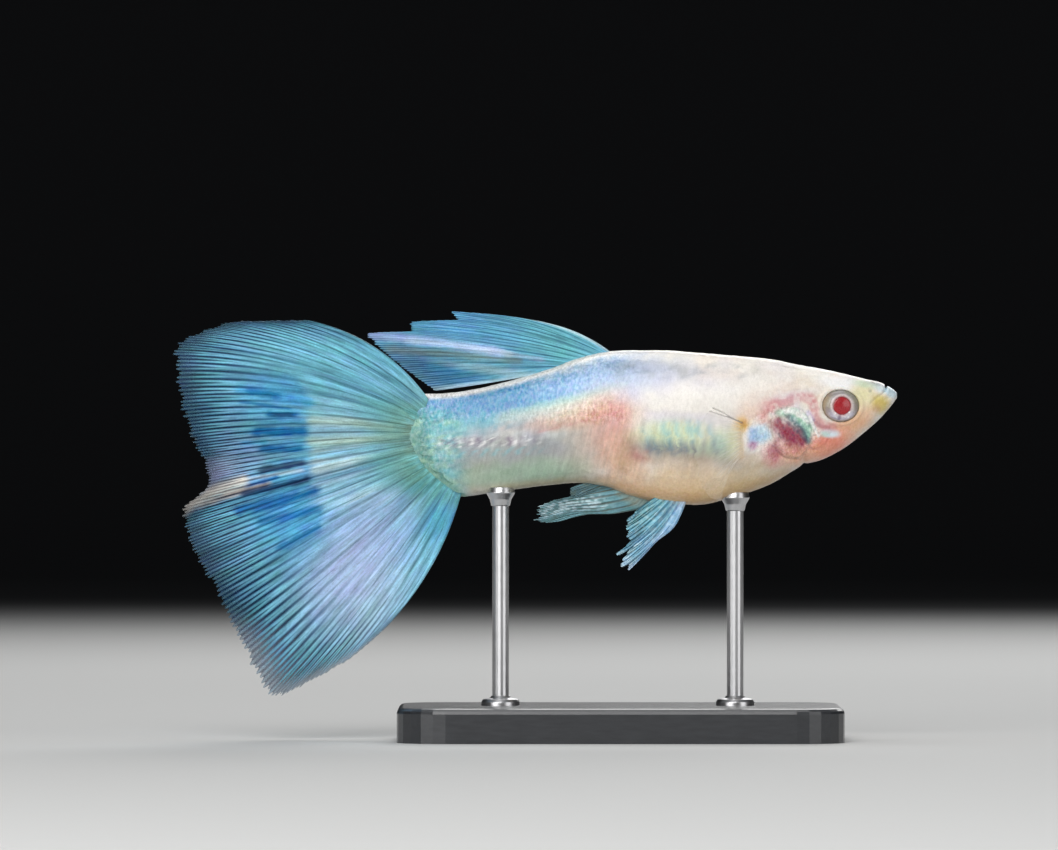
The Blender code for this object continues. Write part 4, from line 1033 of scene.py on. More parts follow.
def fin_material(name, sheen):
    """A fin: painted rays and thin skin, with the fine cross joints of the rays, see-through in places."""
    recipe = Recipe(name)
    paint = recipe.attribute("paint")
    rays = recipe.add("ShaderNodeUVMap", uv_map="Rays").outputs[0]
    fibres, strands, cords, joints = (
        recipe.noise(1.0, 2.0, vector=recipe.add("ShaderNodeMapping", {"Vector": rays, "Scale": scale}).outputs[0])
        for scale in ((2.6, 1.1, 1), (0.9, 0.6, 1), (0.42, 0.35, 1), (0.7, 9.0, 1))
    )
    grains = recipe.noise(9.0, 2.0)
    drift = recipe.noise(0.8, 2.0)
    value = recipe.maths("MULTIPLY_ADD", fibres, 0.6, 1.0)
    value = recipe.maths("MULTIPLY_ADD", strands, 0.95, value)
    value = recipe.maths("MULTIPLY_ADD", cords, 0.75, value)
    value = recipe.maths("MULTIPLY_ADD", joints, 0.25, value)
    value = recipe.maths("MULTIPLY_ADD", grains, 0.45, value)
    hue = recipe.maths("MULTIPLY_ADD", cords, 0.06, recipe.maths("MULTIPLY_ADD", drift, 0.06, 0.490))
    recipe.set(
        Base_Color=recipe.tint(paint.outputs["Color"], hue, 1.05, value),
        Alpha=paint.outputs["Alpha"],
        Roughness=recipe.maths("MULTIPLY_ADD", grains, 0.25, 0.40),
        Metallic=sheen,
        Specular_IOR_Level=0.18,
        Coat_Weight=0.04,
        Coat_Roughness=0.25,
    )
    recipe.relief(recipe.maths("MULTIPLY_ADD", joints, 0.7, fibres), 0.02, 0.6)
    return recipe.material


def eye_material():
    """A wet eye: the painted pupil and rings with fine threads that run out from the pupil."""
    recipe = Recipe("wet_eye")
    paint = recipe.attribute("paint").outputs["Color"]
    polar = recipe.add("ShaderNodeUVMap", uv_map="Rings").outputs[0]
    scale = recipe.add("ShaderNodeMapping", {"Vector": polar, "Scale": (60.0, 3.0, 1.0)}).outputs[0]
    threads = recipe.noise(1.0, 3.0, vector=scale)
    grains = recipe.noise(11.0, 2.0)
    value = recipe.maths("MULTIPLY_ADD", threads, 0.35, recipe.maths("MULTIPLY_ADD", grains, 0.25, 1.0))
    recipe.set(
        Base_Color=recipe.tint(paint, 0.5, 1.0, value),
        Roughness=recipe.maths("MULTIPLY_ADD", grains, 0.2, 0.30),
        Coat_Weight=0.35,
        Coat_Roughness=0.10,
        Coat_IOR=1.45,
    )
    recipe.relief(threads, 0.006, 0.4)
    return recipe.material


def colour_of(values):
    return (values[0], values[1], values[2], 1.0)


def base_material(colour):
    """Satin lacquer on wood, with a faint grain under it."""
    recipe = Recipe("satin_lacquer")
    grain = recipe.noise(0.6, 6.0, (1.0, 9.0, 6.0))
    dust = recipe.noise(7.0, 2.0)
    recipe.set(
        Base_Color=recipe.tint(colour_of(colour), 0.5, 1.0, recipe.maths("MULTIPLY_ADD", grain, 0.8, 1.0)),
        Roughness=recipe.maths("MULTIPLY_ADD", dust, 0.2, recipe.maths("MULTIPLY_ADD", grain, 0.12, 0.34)),
        Coat_Weight=0.35,
        Coat_Roughness=0.15,
    )
    recipe.relief(recipe.maths("MULTIPLY_ADD", dust, 0.3, grain), 0.02, 0.5)
    return recipe.material


def rod_material(name, colour):
    """Turned metal, with fine rings left by the lathe."""
    recipe = Recipe(name)
    rings = recipe.noise(1.0, 3.0, (0.3, 0.3, 14.0))
    wear = recipe.noise(1.5, 3.0)
    recipe.set(
        Base_Color=recipe.tint(colour_of(colour), 0.5, 1.0, recipe.maths("MULTIPLY_ADD", wear, 0.25, 1.0)),
        Metallic=1.0,
        Roughness=recipe.maths("MULTIPLY_ADD", rings, 0.12, 0.32),
    )
    recipe.relief(rings, 0.002, 0.4)
    return recipe.material


def floor_material(lit_floor_colour, wall_colour, light_pool_reach, light_pool_end):
    """Paper that is painted pale in a round pool under the model and falls off to a quiet dark wall: a painted pool of
    light.
    """
    recipe = Recipe("paper_with_painted_light_pool")
    place = recipe.add("ShaderNodeTexCoord").outputs["Object"]
    reach = recipe.add("ShaderNodeVectorMath", {0: place}, operation="LENGTH").outputs["Value"]
    light_pool_falloff = recipe.add(
        "ShaderNodeMapRange",
        {"Value": reach, "From Min": light_pool_reach, "From Max": light_pool_end},
        interpolation_type="SMOOTHSTEP",
    ).outputs[0]
    grain = recipe.noise(0.9, 4.0)
    colour = recipe.blend(light_pool_falloff, colour_of(lit_floor_colour), colour_of(wall_colour))
    recipe.set(
        Base_Color=recipe.tint(colour, 0.5, 1.0, recipe.maths("MULTIPLY_ADD", grain, 0.03, 1.0)),
        Roughness=recipe.maths("MULTIPLY_ADD", grain, 0.1, 0.85),
        Specular_IOR_Level=0.2,
    )
    recipe.relief(grain, 0.01, 0.3)
    return recipe.material


class Fan:
    """A fin made of rays that fork again and again from its root to its margin, with thin skin between them."""

    def __init__(self, place, rays, forks, columns, rows, seed, gaps=(0.14, 0.55)):
        self.rays = rays
        self.gaps = gaps
        self.rows = rows
        self.tips = 2**forks
        self.columns = rays * self.tips * columns
        draw = np.random.RandomState(seed)
        t = np.linspace(0, 1, self.columns + 1)
        share = np.linspace(0, 1, rows + 1)
        cell = t * rays
        ray = np.minimum(cell.astype(int), rays - 1)
        branches = self.branches(forks, draw)
        at_margin = self.profile(cell, ray, np.ones(1), branches)[0]
        tip = np.minimum((t * rays * self.tips).astype(int), rays * self.tips - 1)
        ragged = draw.rand(rays * self.tips)[tip]
        self.reach = (at_margin, ragged)
        self.cell, self.ray, self.branch_table = cell, ray, branches
        self.t_line, self.share_line = t, share
        self.place = place

    def branches(self, forks, draw):
        """For each tip of each ray: where its branches part, and how far each steps to the side."""
        parts = []
        for level in range(forks):
            start = (level + 0.75) / (forks + 0.8)
            groups = 2 ** (level + 1)
            where = start + 0.10 * (draw.rand(self.rays, max(groups // 2, 1)) - 0.5)
            tip = np.arange(self.tips)
            group = tip * groups // self.tips
            sign = np.where(group % 2 == 0, -1.0, 1.0)
            step = sign * 0.5 ** (level + 2)
            parts.append((where[:, group // 2], np.tile(step, (self.rays, 1))))
        return parts

    def profile(self, cell, ray, s, branches):
        """How much of each point is ray: 1 on a ray and 0 in the gap to the next. Rows follow s."""
        centres = []
        for tip in range(self.tips):
            centre = np.full((len(s), len(cell)), 0.5)
            for where, step in branches:
                start = where[ray, tip]
                centre = centre + step[ray, tip] * ramp(s[:, None], start, start + 0.26)
            centres.append(centre)
        valleys = [(0.0 * centres[0], centres[0]), (1.0 + 0.0 * centres[0], 1 - centres[-1])]
        valleys += [((a + b) / 2, (b - a) / 2) for a, b in zip(centres, centres[1:])]
        share = self.gaps[0] + (self.gaps[1] - self.gaps[0]) * s[:, None] ** 1.6
        crest = np.ones(centres[0].shape)
        for middle, half in valleys:
            width = share * half
            gap = ramp(np.abs(cell - ray - middle), 1.25 * width + 0.008, 0.30 * width)
            crest = np.minimum(crest, 1 - gap * ramp(half, 0.0, 0.36 / self.tips))
        return 1 - (1 - crest) * ramp(s[:, None], 0.01, 0.12)

    def streaks(self, across, along, seed):
        """Random stripes that follow the rays. across and along are how many blotches there are each way."""
        places = np.column_stack((self.t * across, self.s * along, 0 * self.t))
        return mottle(places, 1.0, seed)

    def build(self, name, material, painter, skin, ridge, root, notch, ragged):
        """Makes the fin. skin and ridge are half thicknesses at its root and margin, root swells it where it
        starts, notch is how far the skin stops short of the rays, and ragged how uneven the rays' ends are."""
        at_margin, uneven = self.reach
        far = 1 - notch * (1 - at_margin) - ragged * uneven
        share = self.share_line
        crest = self.profile(self.cell, self.ray, share, self.branch_table)
        s = share[:, None] * far
        t = np.tile(self.t_line, (len(share), 1))
        middle = self.place(t, s)
        along = np.gradient(middle, axis=0)
        across = np.gradient(middle, axis=1)
        normal = np.cross(along, across)
        normal /= np.maximum(np.linalg.norm(normal, axis=-1, keepdims=True), 1e-9)
        half = skin[0] + (skin[1] - skin[0]) * share[:, None]
        half = half + (ridge[0] + (ridge[1] - ridge[0]) * share[:, None]) * crest
        half = half + root * np.exp(-share[:, None] / 0.05)
        faces = (middle + normal * half[..., None], middle - normal * half[..., None])
        points = np.concatenate([face.reshape(-1, 3) for face in faces])
        rows, columns = crest.shape
        count = rows * columns
        front = grid_faces(rows, columns)
        rim = np.concatenate((
            np.arange(columns),
            np.arange(2, rows + 1) * columns - 1,
            np.arange(count - 2, count - columns - 1, -1),
            np.arange(rows - 2, 0, -1) * columns,
        ))
        after = np.roll(rim, -1)
        edge = np.stack((after, rim, rim + count, after + count), axis=1)
        quads = np.concatenate((front, front[:, ::-1] + count, edge))
        self.points = points
        self.t = np.tile(t.ravel(), 2)
        self.s = np.tile(np.tile(share[:, None], (1, columns)).ravel(), 2)
        self.crest = np.tile(crest.ravel(), 2)
        rays, gaps, clear = painter(self)
        colour = gaps + (rays - gaps) * self.crest[:, None]
        ray_alpha, gap_alpha = clear if isinstance(clear, tuple) else (1 - 0.15 * clear, 1 - clear)
        opacity = gap_alpha + (ray_alpha - gap_alpha) * self.crest
        obj = solid(name, points, quads, np.empty((0, 3), int), material)
        store_paint(obj.data, colour, opacity)
        length = np.linalg.norm(np.diff(middle, axis=0), axis=-1).sum(axis=0).mean()
        places = np.column_stack((self.t * self.rays * self.tips, self.s * length))
        store_map(obj.data, "Rays", places)
        return obj


def spread(root, end, s, bow):
    """The point s of the way along a ray that bows to the side of its chord."""
    run_x, run_z = end[0] - root[0], end[1] - root[1]
    length = np.hypot(run_x, run_z)
    aside = 4 * bow * s * (1 - s)
    return root[0] + run_x * s - run_z / length * aside, root[1] + run_z * s + run_x / length * aside


def margin(table, t):
    return smooth(table, t, 1), smooth(table, t, 2)


def tail_point(t, s):
    """The delta tail: a fan in the fish's middle plane, with soft waves and one pleat in the middle."""
    v = 0.03 + 0.94 * t
    step = 0.01
    x, z = tail_root_x(v), section(tail_root_x(v), 1 - 2 * v)[1]
    ahead, behind = v + step, v - step
    run_x = tail_root_x(ahead) - tail_root_x(behind)
    run_z = section(tail_root_x(ahead), 1 - 2 * ahead)[1] - section(tail_root_x(behind), 1 - 2 * behind)[1]
    length = np.hypot(run_x, run_z)
    root = (x - run_z / length * ROOT_SINK, z + run_x / length * ROOT_SINK)
    x, z = spread(root, margin(TAIL_MARGIN, t), s, smooth(TAIL_BOW, t))
    wave = TAIL_WAVE_HEIGHT * np.sin(2 * np.pi * TAIL_WAVES * t)
    fold = TAIL_FOLD_HEIGHT * bump(t, TAIL_FOLD_AT, TAIL_FOLD_WIDTH)
    return np.stack((x, (wave - fold) * s**1.6, z), axis=-1)


def dorsal_point(t, s):
    """The dorsal fin: rooted along the back and laid towards the tail, its rear leaning a little to the left."""
    x = DORSAL_FRONT + (DORSAL_REAR - DORSAL_FRONT) * t
    root = (x, back(x) - ROOT_SINK)
    x, z = spread(root, margin(DORSAL_MARGIN, t), s, smooth(DORSAL_BOW, t))
    return np.stack((x, DORSAL_LEAN * s * s * np.sin(np.pi * (0.15 + 0.8 * t)), z), axis=-1)


def anal_point(t, s):
    """The anal fin, drawn out to a long narrow organ that lies back under the tail stalk. Its front rays
    drop steeply before they turn to the rear."""
    x = ANAL_FRONT + (ANAL_REAR - ANAL_FRONT) * t**0.7
    root = (x, belly(x) + ROOT_SINK)
    end = margin(ANAL_MARGIN, t)
    x, z = spread(root, end, s, 0.10 - 0.20 * t)
    dropped = root[1] + (end[1] - root[1]) * smooth(ANAL_DROP, s)
    z = z + (dropped - z) * ramp(t, 0.60, 0.10)
    return np.stack((x, 0.12 * np.sin(5 * t) * s, z), axis=-1)


def pelvic_point(side):
    def place(t, s):
        x = PELVIC_FRONT + (PELVIC_REAR - PELVIC_FRONT) * t
        root = (x, under(x, PELVIC_SIDE) + ROOT_SINK)
        end = margin(PELVIC_MARGIN, t)
        front = ramp(t, 0.14, 0.0)
        bow = 0.48 - 0.58 * t + front * (0.45 * ramp(s, 0.62, 0.28) - 0.24)
        x, z = spread(root, end, s, bow)
        return np.stack((x, side * (PELVIC_SIDE + PELVIC_SPLAY * s), z), axis=-1)

    return place


def pectoral_point(side):
    def place(t, s):
        root_z = PECTORAL_ROOT_TOP + (PECTORAL_ROOT_FOOT - PECTORAL_ROOT_TOP) * t
        turned = s - 0.10 * (1 - np.exp(-s / 0.08))
        x, z = spread((PECTORAL_ROOT, root_z), margin(PECTORAL_MARGIN, t), turned, -0.02 - 0.28 * t)
        out = flank(PECTORAL_ROOT, root_z) - 0.15
        out = out + (PECTORAL_STAND_OFF + 0.45) * (1 - np.exp(-s / 0.12)) + PECTORAL_FLARE * s
        return np.stack((x, side * out, z), axis=-1)

    return place


class GuppySkin(bpy.types.PropertyGroup):
    """How fine the skin is and how deep its folds are."""

    stalk_rings: bpy.props.IntProperty(name="Tail rings", description="Rings of points on the tail stalk", default=62, min=8)
    trunk_rings: bpy.props.IntProperty(name="Trunk rings", description="Rings of points on the trunk", default=86, min=8)
    head_rings: bpy.props.IntProperty(name="Head rings", description="Rings of points on the head", default=196, min=16)
    ring_points: bpy.props.IntProperty(name="Points in a ring", description="A multiple of four", default=220, min=16, step=4)
    gill_raise: bpy.props.FloatProperty(name="Gill cover", description="How far it stands out", default=0.12 * MM, unit="LENGTH")
    mouth_depth: bpy.props.FloatProperty(name="Mouth", description="How deep the mouth line is", default=0.32 * MM, unit="LENGTH")
    rim_height: bpy.props.FloatProperty(name="Eye rim", description="How far the rim stands out", default=0.07 * MM, unit="LENGTH")
    socket_depth: bpy.props.FloatProperty(name="Eye socket", description="How deep the eye is set", default=1.1 * MM, unit="LENGTH")


class GuppyScales(bpy.types.PropertyGroup):
    """The sheet of scales that is wrapped round the body."""

    columns: bpy.props.IntProperty(name="Columns", description="Scales from the head to the tail", default=37, min=4)
    rows: bpy.props.IntProperty(name="Rows", description="Rows of scales round the body", default=28, min=4)
    spacing: bpy.props.FloatProperty(name="Spacing", description="From one scale to the next", default=0.80 * MM, unit="LENGTH")
    lift: bpy.props.FloatProperty(name="Lift", description="How far the free edges stand out", default=0.030 * MM, unit="LENGTH")
    thickness: bpy.props.FloatProperty(name="Thickness", description="Of one scale", default=0.024 * MM, unit="LENGTH")
    seed: bpy.props.IntProperty(name="Seed", description="Changes how the scales vary", default=4)


class GuppyEyes(bpy.types.PropertyGroup):
    """The sizes of the eye's rings and its main colours."""

    pupil: bpy.props.FloatProperty(name="Pupil", description="Radius of the red pupil", default=0.65 * MM, unit="LENGTH")
    inner_ring: bpy.props.FloatProperty(name="Inner ring", description="Outer radius of the pale ring", default=0.85 * MM, unit="LENGTH")
    pupil_colour: bpy.props.FloatVectorProperty(name="Pupil colour", description="Crimson", subtype="COLOR", default=tuple(linear(166, 28, 38)))
    ring_colour: bpy.props.FloatVectorProperty(name="Ring colour", description="Silver", subtype="COLOR", default=tuple(linear(174, 162, 148)))


class GuppyFins(bpy.types.PropertyGroup):
    """How many rays the fins have and how thick they are."""

    tail_rays: bpy.props.IntProperty(name="Tail rays", description="Rays at the root of the tail fin", default=19, min=3)
    dorsal_rays: bpy.props.IntProperty(name="Dorsal rays", description="Rays at the root of the dorsal fin", default=8, min=3)
    small_rays: bpy.props.IntProperty(name="Small fins' rays", description="Rays of each small fin", default=6, min=3)
    skin: bpy.props.FloatProperty(name="Skin", description="Half thickness of the skin between rays", default=0.035 * MM, unit="LENGTH")
    ridge: bpy.props.FloatProperty(name="Ridge", description="How far a ray stands out at its root", default=0.045 * MM, unit="LENGTH")


class GuppyStage(bpy.types.PropertyGroup):
    """The stand's finish, the paper under it and the light."""

    base_colour: bpy.props.FloatVectorProperty(name="Base", description="Lacquer colour", subtype="COLOR", default=(0.030, 0.032, 0.036))
    rod_colour: bpy.props.FloatVectorProperty(name="Rods", description="Metal colour", subtype="COLOR", default=(0.62, 0.62, 0.63))
    # The lit floor colour is laid in a round pool under the model that falls off to the wall colour: a painted pool of
    # light.
    lit_floor_colour: bpy.props.FloatVectorProperty(name="Floor", description="Pale paper", subtype="COLOR", default=(0.64, 0.64, 0.63))
    wall_colour: bpy.props.FloatVectorProperty(name="Wall", description="Quiet dark paper", subtype="COLOR", default=(0.014, 0.0145, 0.016))
    radius: bpy.props.FloatProperty(name="Radius", description="Of the round stage", default=1.06, unit="LENGTH")
    key_power: bpy.props.FloatProperty(name="Key light", description="In watts", default=1.40)


class GUPPY_OT_skin(bpy.types.Operator):
    """Build the one skin of head, trunk and tail stalk"""

    bl_idname = "guppy.skin"
    bl_label = "Skin"

    def execute(self, context):
        shape = context.scene.guppy_skin
        around = shape.ring_points // 4 * 4
        rear = np.linspace(STALK_END - 0.62, TRUNK_REAR, shape.stalk_rings, endpoint=False)
        trunk = np.linspace(TRUNK_REAR, HEAD_REAR, shape.trunk_rings, endpoint=False)
        share = np.linspace(0, 1, shape.head_rings)
        head = HEAD_REAR + (SNOUT_TIP - HEAD_REAR) * (1 - (1 - share) ** 1.25)
        along = np.concatenate((rear, trunk, head))
        turn = np.arange(around) * 2 * np.pi / around
        grid_along, grid_turn = (g.ravel() for g in np.meshgrid(along, turn, indexing="ij"))
        bare = body_point(grid_along, grid_turn)
        thin = ramp(grid_along, STALK_END - 0.62, STALK_END + 0.9)
        bare[:, 1] *= 0.30 + 0.70 * np.sqrt(thin)
        normals = body_normal(grid_along, grid_turn)
        points = relief(bare, normals, shape)
        tip_ring = points[-around:]
        centre = tip_ring.mean(axis=0)
        caps = []
        for angle in np.radians((22, 42, 60, 76)):
            ring = centre + (tip_ring - centre) * math.cos(angle)
            ring[:, 0] += SNOUT_CAP * math.sin(angle)
            caps.append(ring)
        points = np.concatenate((points, *caps, [centre + (SNOUT_CAP, 0, 0)]))
        rows = len(along) + len(caps)
        quads = grid_faces(rows, around, wrap=True)
        pole = len(points) - 1
        last = (rows - 1) * around + np.arange(around)
        triangles = np.stack((last, np.roll(last, -1), np.full(around, pole)), axis=1)
        quads = np.concatenate((quads, self.rear_cap(around)))
        obj = solid("skin", points, quads, triangles, flesh_material("pearl_flesh", 0.02, 0.1))
        colour, finish = paint_body(points)
        store_paint(obj.data, colour)
        store(obj.data, "finish", finish)
        attach(
            obj, "pearl_skin",
            "head", "lower_jaw", "gill_cover_right", "gill_cover_left", "trunk", "tail_stalk",
        )
        return {"FINISHED"}

    def rear_cap(self, around):
        """Quads across the narrow rear end, from each point to the one opposite."""
        top = around // 4
        k = np.arange(-top, top)
        mirror = around // 2 - k
        return np.stack((k, mirror, mirror - 1, k + 1), axis=1) % around


def scale_tree():
    """A flat sheet of scales. Each point keeps its place in its own scale and the scale's place in the sheet."""
    tree = bpy.data.node_groups.new("scale_sheet", "GeometryNodeTree")
    tree.interface.new_socket("Geometry", in_out="OUTPUT", socket_type="NodeSocketGeometry")
    sockets = {}
    for name, kind in (
        ("Columns", "NodeSocketInt"), ("Rows", "NodeSocketInt"), ("Variation", "NodeSocketFloat"),
        ("Seed", "NodeSocketInt"), ("Material", "NodeSocketMaterial"),
    ):
        sockets[name] = tree.interface.new_socket(name, in_out="INPUT", socket_type=kind).identifier
    nodes, links = tree.nodes, tree.links

    def add(kind, inputs=None, **settings):
        node = nodes.new(kind)
        for key, value in settings.items():
            setattr(node, key, value)
        for key, value in (inputs or {}).items():
            if isinstance(value, bpy.types.NodeSocket):
                links.new(value, node.inputs[key])
            else:
                node.inputs[key].default_value = value
        return node

    given = nodes.new("NodeGroupInput").outputs
    plate = add("GeometryNodeMeshCube", {"Size": (2, 2, 1), "Vertices X": 5, "Vertices Y": 6, "Vertices Z": 2})
    place = add("GeometryNodeInputPosition").outputs[0]
    kept = add(
        "GeometryNodeStoreNamedAttribute",
        {"Geometry": plate.outputs["Mesh"], "Name": "local", "Value": place},
        data_type="FLOAT_VECTOR", domain="POINT",
    )
    less = [add("ShaderNodeMath", {0: given[n], 1: 1.0}, operation="SUBTRACT").outputs[0] for n in ("Columns", "Rows")]
    sheet = add(
        "GeometryNodeMeshGrid",
        {"Size X": less[0], "Size Y": less[1], "Vertices X": given["Columns"], "Vertices Y": given["Rows"]},
    )
    vary = add(
        "FunctionNodeRandomValue",
        {0: (-1, -1, -1), 1: (1, 1, 1), "Seed": given["Seed"]}, data_type="FLOAT_VECTOR",
    ).outputs[0]
    spots = add(
        "GeometryNodeStoreNamedAttribute",
        {"Geometry": sheet.outputs["Mesh"], "Name": "root", "Value": place},
        data_type="FLOAT_VECTOR", domain="POINT",
    )
    varied = add("ShaderNodeVectorMath", {0: vary, "Scale": given["Variation"]}, operation="SCALE").outputs[0]
    spots = add(
        "GeometryNodeStoreNamedAttribute",
        {"Geometry": spots.outputs[0], "Name": "vary", "Value": varied},
        data_type="FLOAT_VECTOR", domain="POINT",
    )
    spots = add("GeometryNodeInstanceOnPoints", {"Points": spots.outputs[0], "Instance": kept.outputs[0], "Scale": (0.5, 0.5, 0.05)})
    real = add("GeometryNodeRealizeInstances", {"Geometry": spots.outputs[0]})
    done = add("GeometryNodeSetMaterial", {"Geometry": real.outputs[0], "Material": given["Material"]})
    links.new(done.outputs[0], nodes.new("NodeGroupOutput").inputs[0])
    return tree, sockets


def plain_copy(obj):
    """The evaluated object as a plain mesh. The object itself is removed."""
    bpy.context.view_layer.update()
    evaluated = obj.evaluated_get(bpy.context.evaluated_depsgraph_get())
    mesh = bpy.data.meshes.new_from_object(evaluated)
    bpy.data.objects.remove(obj)
    return mesh


def read_vectors(mesh, name):
    values = np.empty(len(mesh.vertices) * 3, dtype=np.float32)
    mesh.attributes[name].data.foreach_get("vector", values)
    return values.reshape(-1, 3).astype(float)


class GUPPY_OT_scales(bpy.types.Operator):
    """Lay a sheet of thin overlapping scales over the body"""

    bl_idname = "guppy.scales"
    bl_label = "Scales"

    def execute(self, context):
        sizes = context.scene.guppy_scales
        shape = context.scene.guppy_skin
        material = flesh_material("pearl_scale", 0.015, 0.0)
        tree, sockets = scale_tree()
        sheet = link_object("scale_sheet", bpy.data.meshes.new("scale_sheet"))
        modifier = sheet.modifiers.new("Scales", "NODES")
        modifier.node_group = tree
        values = {
            "Columns": sizes.columns, "Rows": sizes.rows, "Variation": 1.0,
            "Seed": sizes.seed, "Material": material,
        }
        for name, value in values.items():
            modifier[sockets[name]] = value
        mesh = plain_copy(sheet)
        local, root, vary = (read_vectors(mesh, name) for name in ("local", "root", "vary"))
        corners = np.empty(len(mesh.loops), dtype=np.int32)
        mesh.loops.foreach_get("vertex_index", corners)
        quads = corners.reshape(-1, 4)
        bpy.data.meshes.remove(mesh)
        column = np.round(root[:, 0] + (sizes.columns - 1) / 2)
        row = np.round(root[:, 1] + (sizes.rows - 1) / 2)
        spacing = sizes.spacing / MM
        front = 14.2 - (column + 0.5 * (row % 2)) * spacing
        share = (local[:, 0] + 1) / 2
        rounding = np.sqrt(1 - 0.62 * share**2 * local[:, 1] ** 2) * (1 - 0.55 * (1 - share) ** 2)
        reach = 1.75 * spacing * (1 + 0.07 * vary[:, 0])
        bulge = 1 - 0.30 * local[:, 1] ** 2 * share
        along = front - reach * share * bulge
        step = 2 * np.pi / sizes.rows
        turn = (row + 0.5 + 0.06 * vary[:, 1]) * step + local[:, 1] * 0.74 * step * rounding
        lift = sizes.lift / MM * (0.8 + 0.3 * vary[:, 2])
        height = 0.010 + lift * share**1.3 - 0.005 * local[:, 1] ** 2 * share
        feather = 1 - 0.75 * np.maximum(ramp(np.abs(local[:, 1]), 0.55, 1.0), ramp(local[:, 0], 0.55, 1.0))
        height += np.where(local[:, 2] > 0, 0.0, -feather) * sizes.thickness / MM
        base = body_point(front - 0.5 * reach, (row + 0.5) * step)
        keep = self.wanted(base, front)
        keep &= front - reach > STALK_END - 0.35
        points = skin_point(along, turn, shape, height)
        numbers = np.cumsum(keep) - 1
        quads = numbers[quads[keep[quads].all(axis=1)]]
        points, base, vary, local = points[keep], base[keep], vary[keep], local[keep]
        places = np.column_stack(((front[keep] + 16.0) / 36.0, (row[keep] + 0.5) / sizes.rows))
        obj = solid("scales", points, quads, np.empty((0, 3), int), material)
        colour, finish = paint_body(points)
        colour = colour * (1 + 0.035 * vary[:, 2:3])
        store_paint(obj.data, np.clip(colour, 0, 1))
        store(obj.data, "finish", finish)
        store_map(obj.data, "OFBake", places + local[:, :2] * 0.0015)
        attach(obj, "pearl_skin")
        return {"FINISHED"}

    def wanted(self, base, front):
        """Scales leave the gill covers, cheeks, face, throat and pectoral roots bare."""
        x, _, z = base.T
        on_nape = z > 24.9 + 0.16 * (x - 9.0)
        clear_of_gill = (gill_distance(x, z) > 1.35) & (x < 10.6)
        root = np.hypot((x - 9.0) / 0.8, (z - 21.5) / 1.5) > 1.0
        return ((clear_of_gill & root) | on_nape) & (front < 14.3)


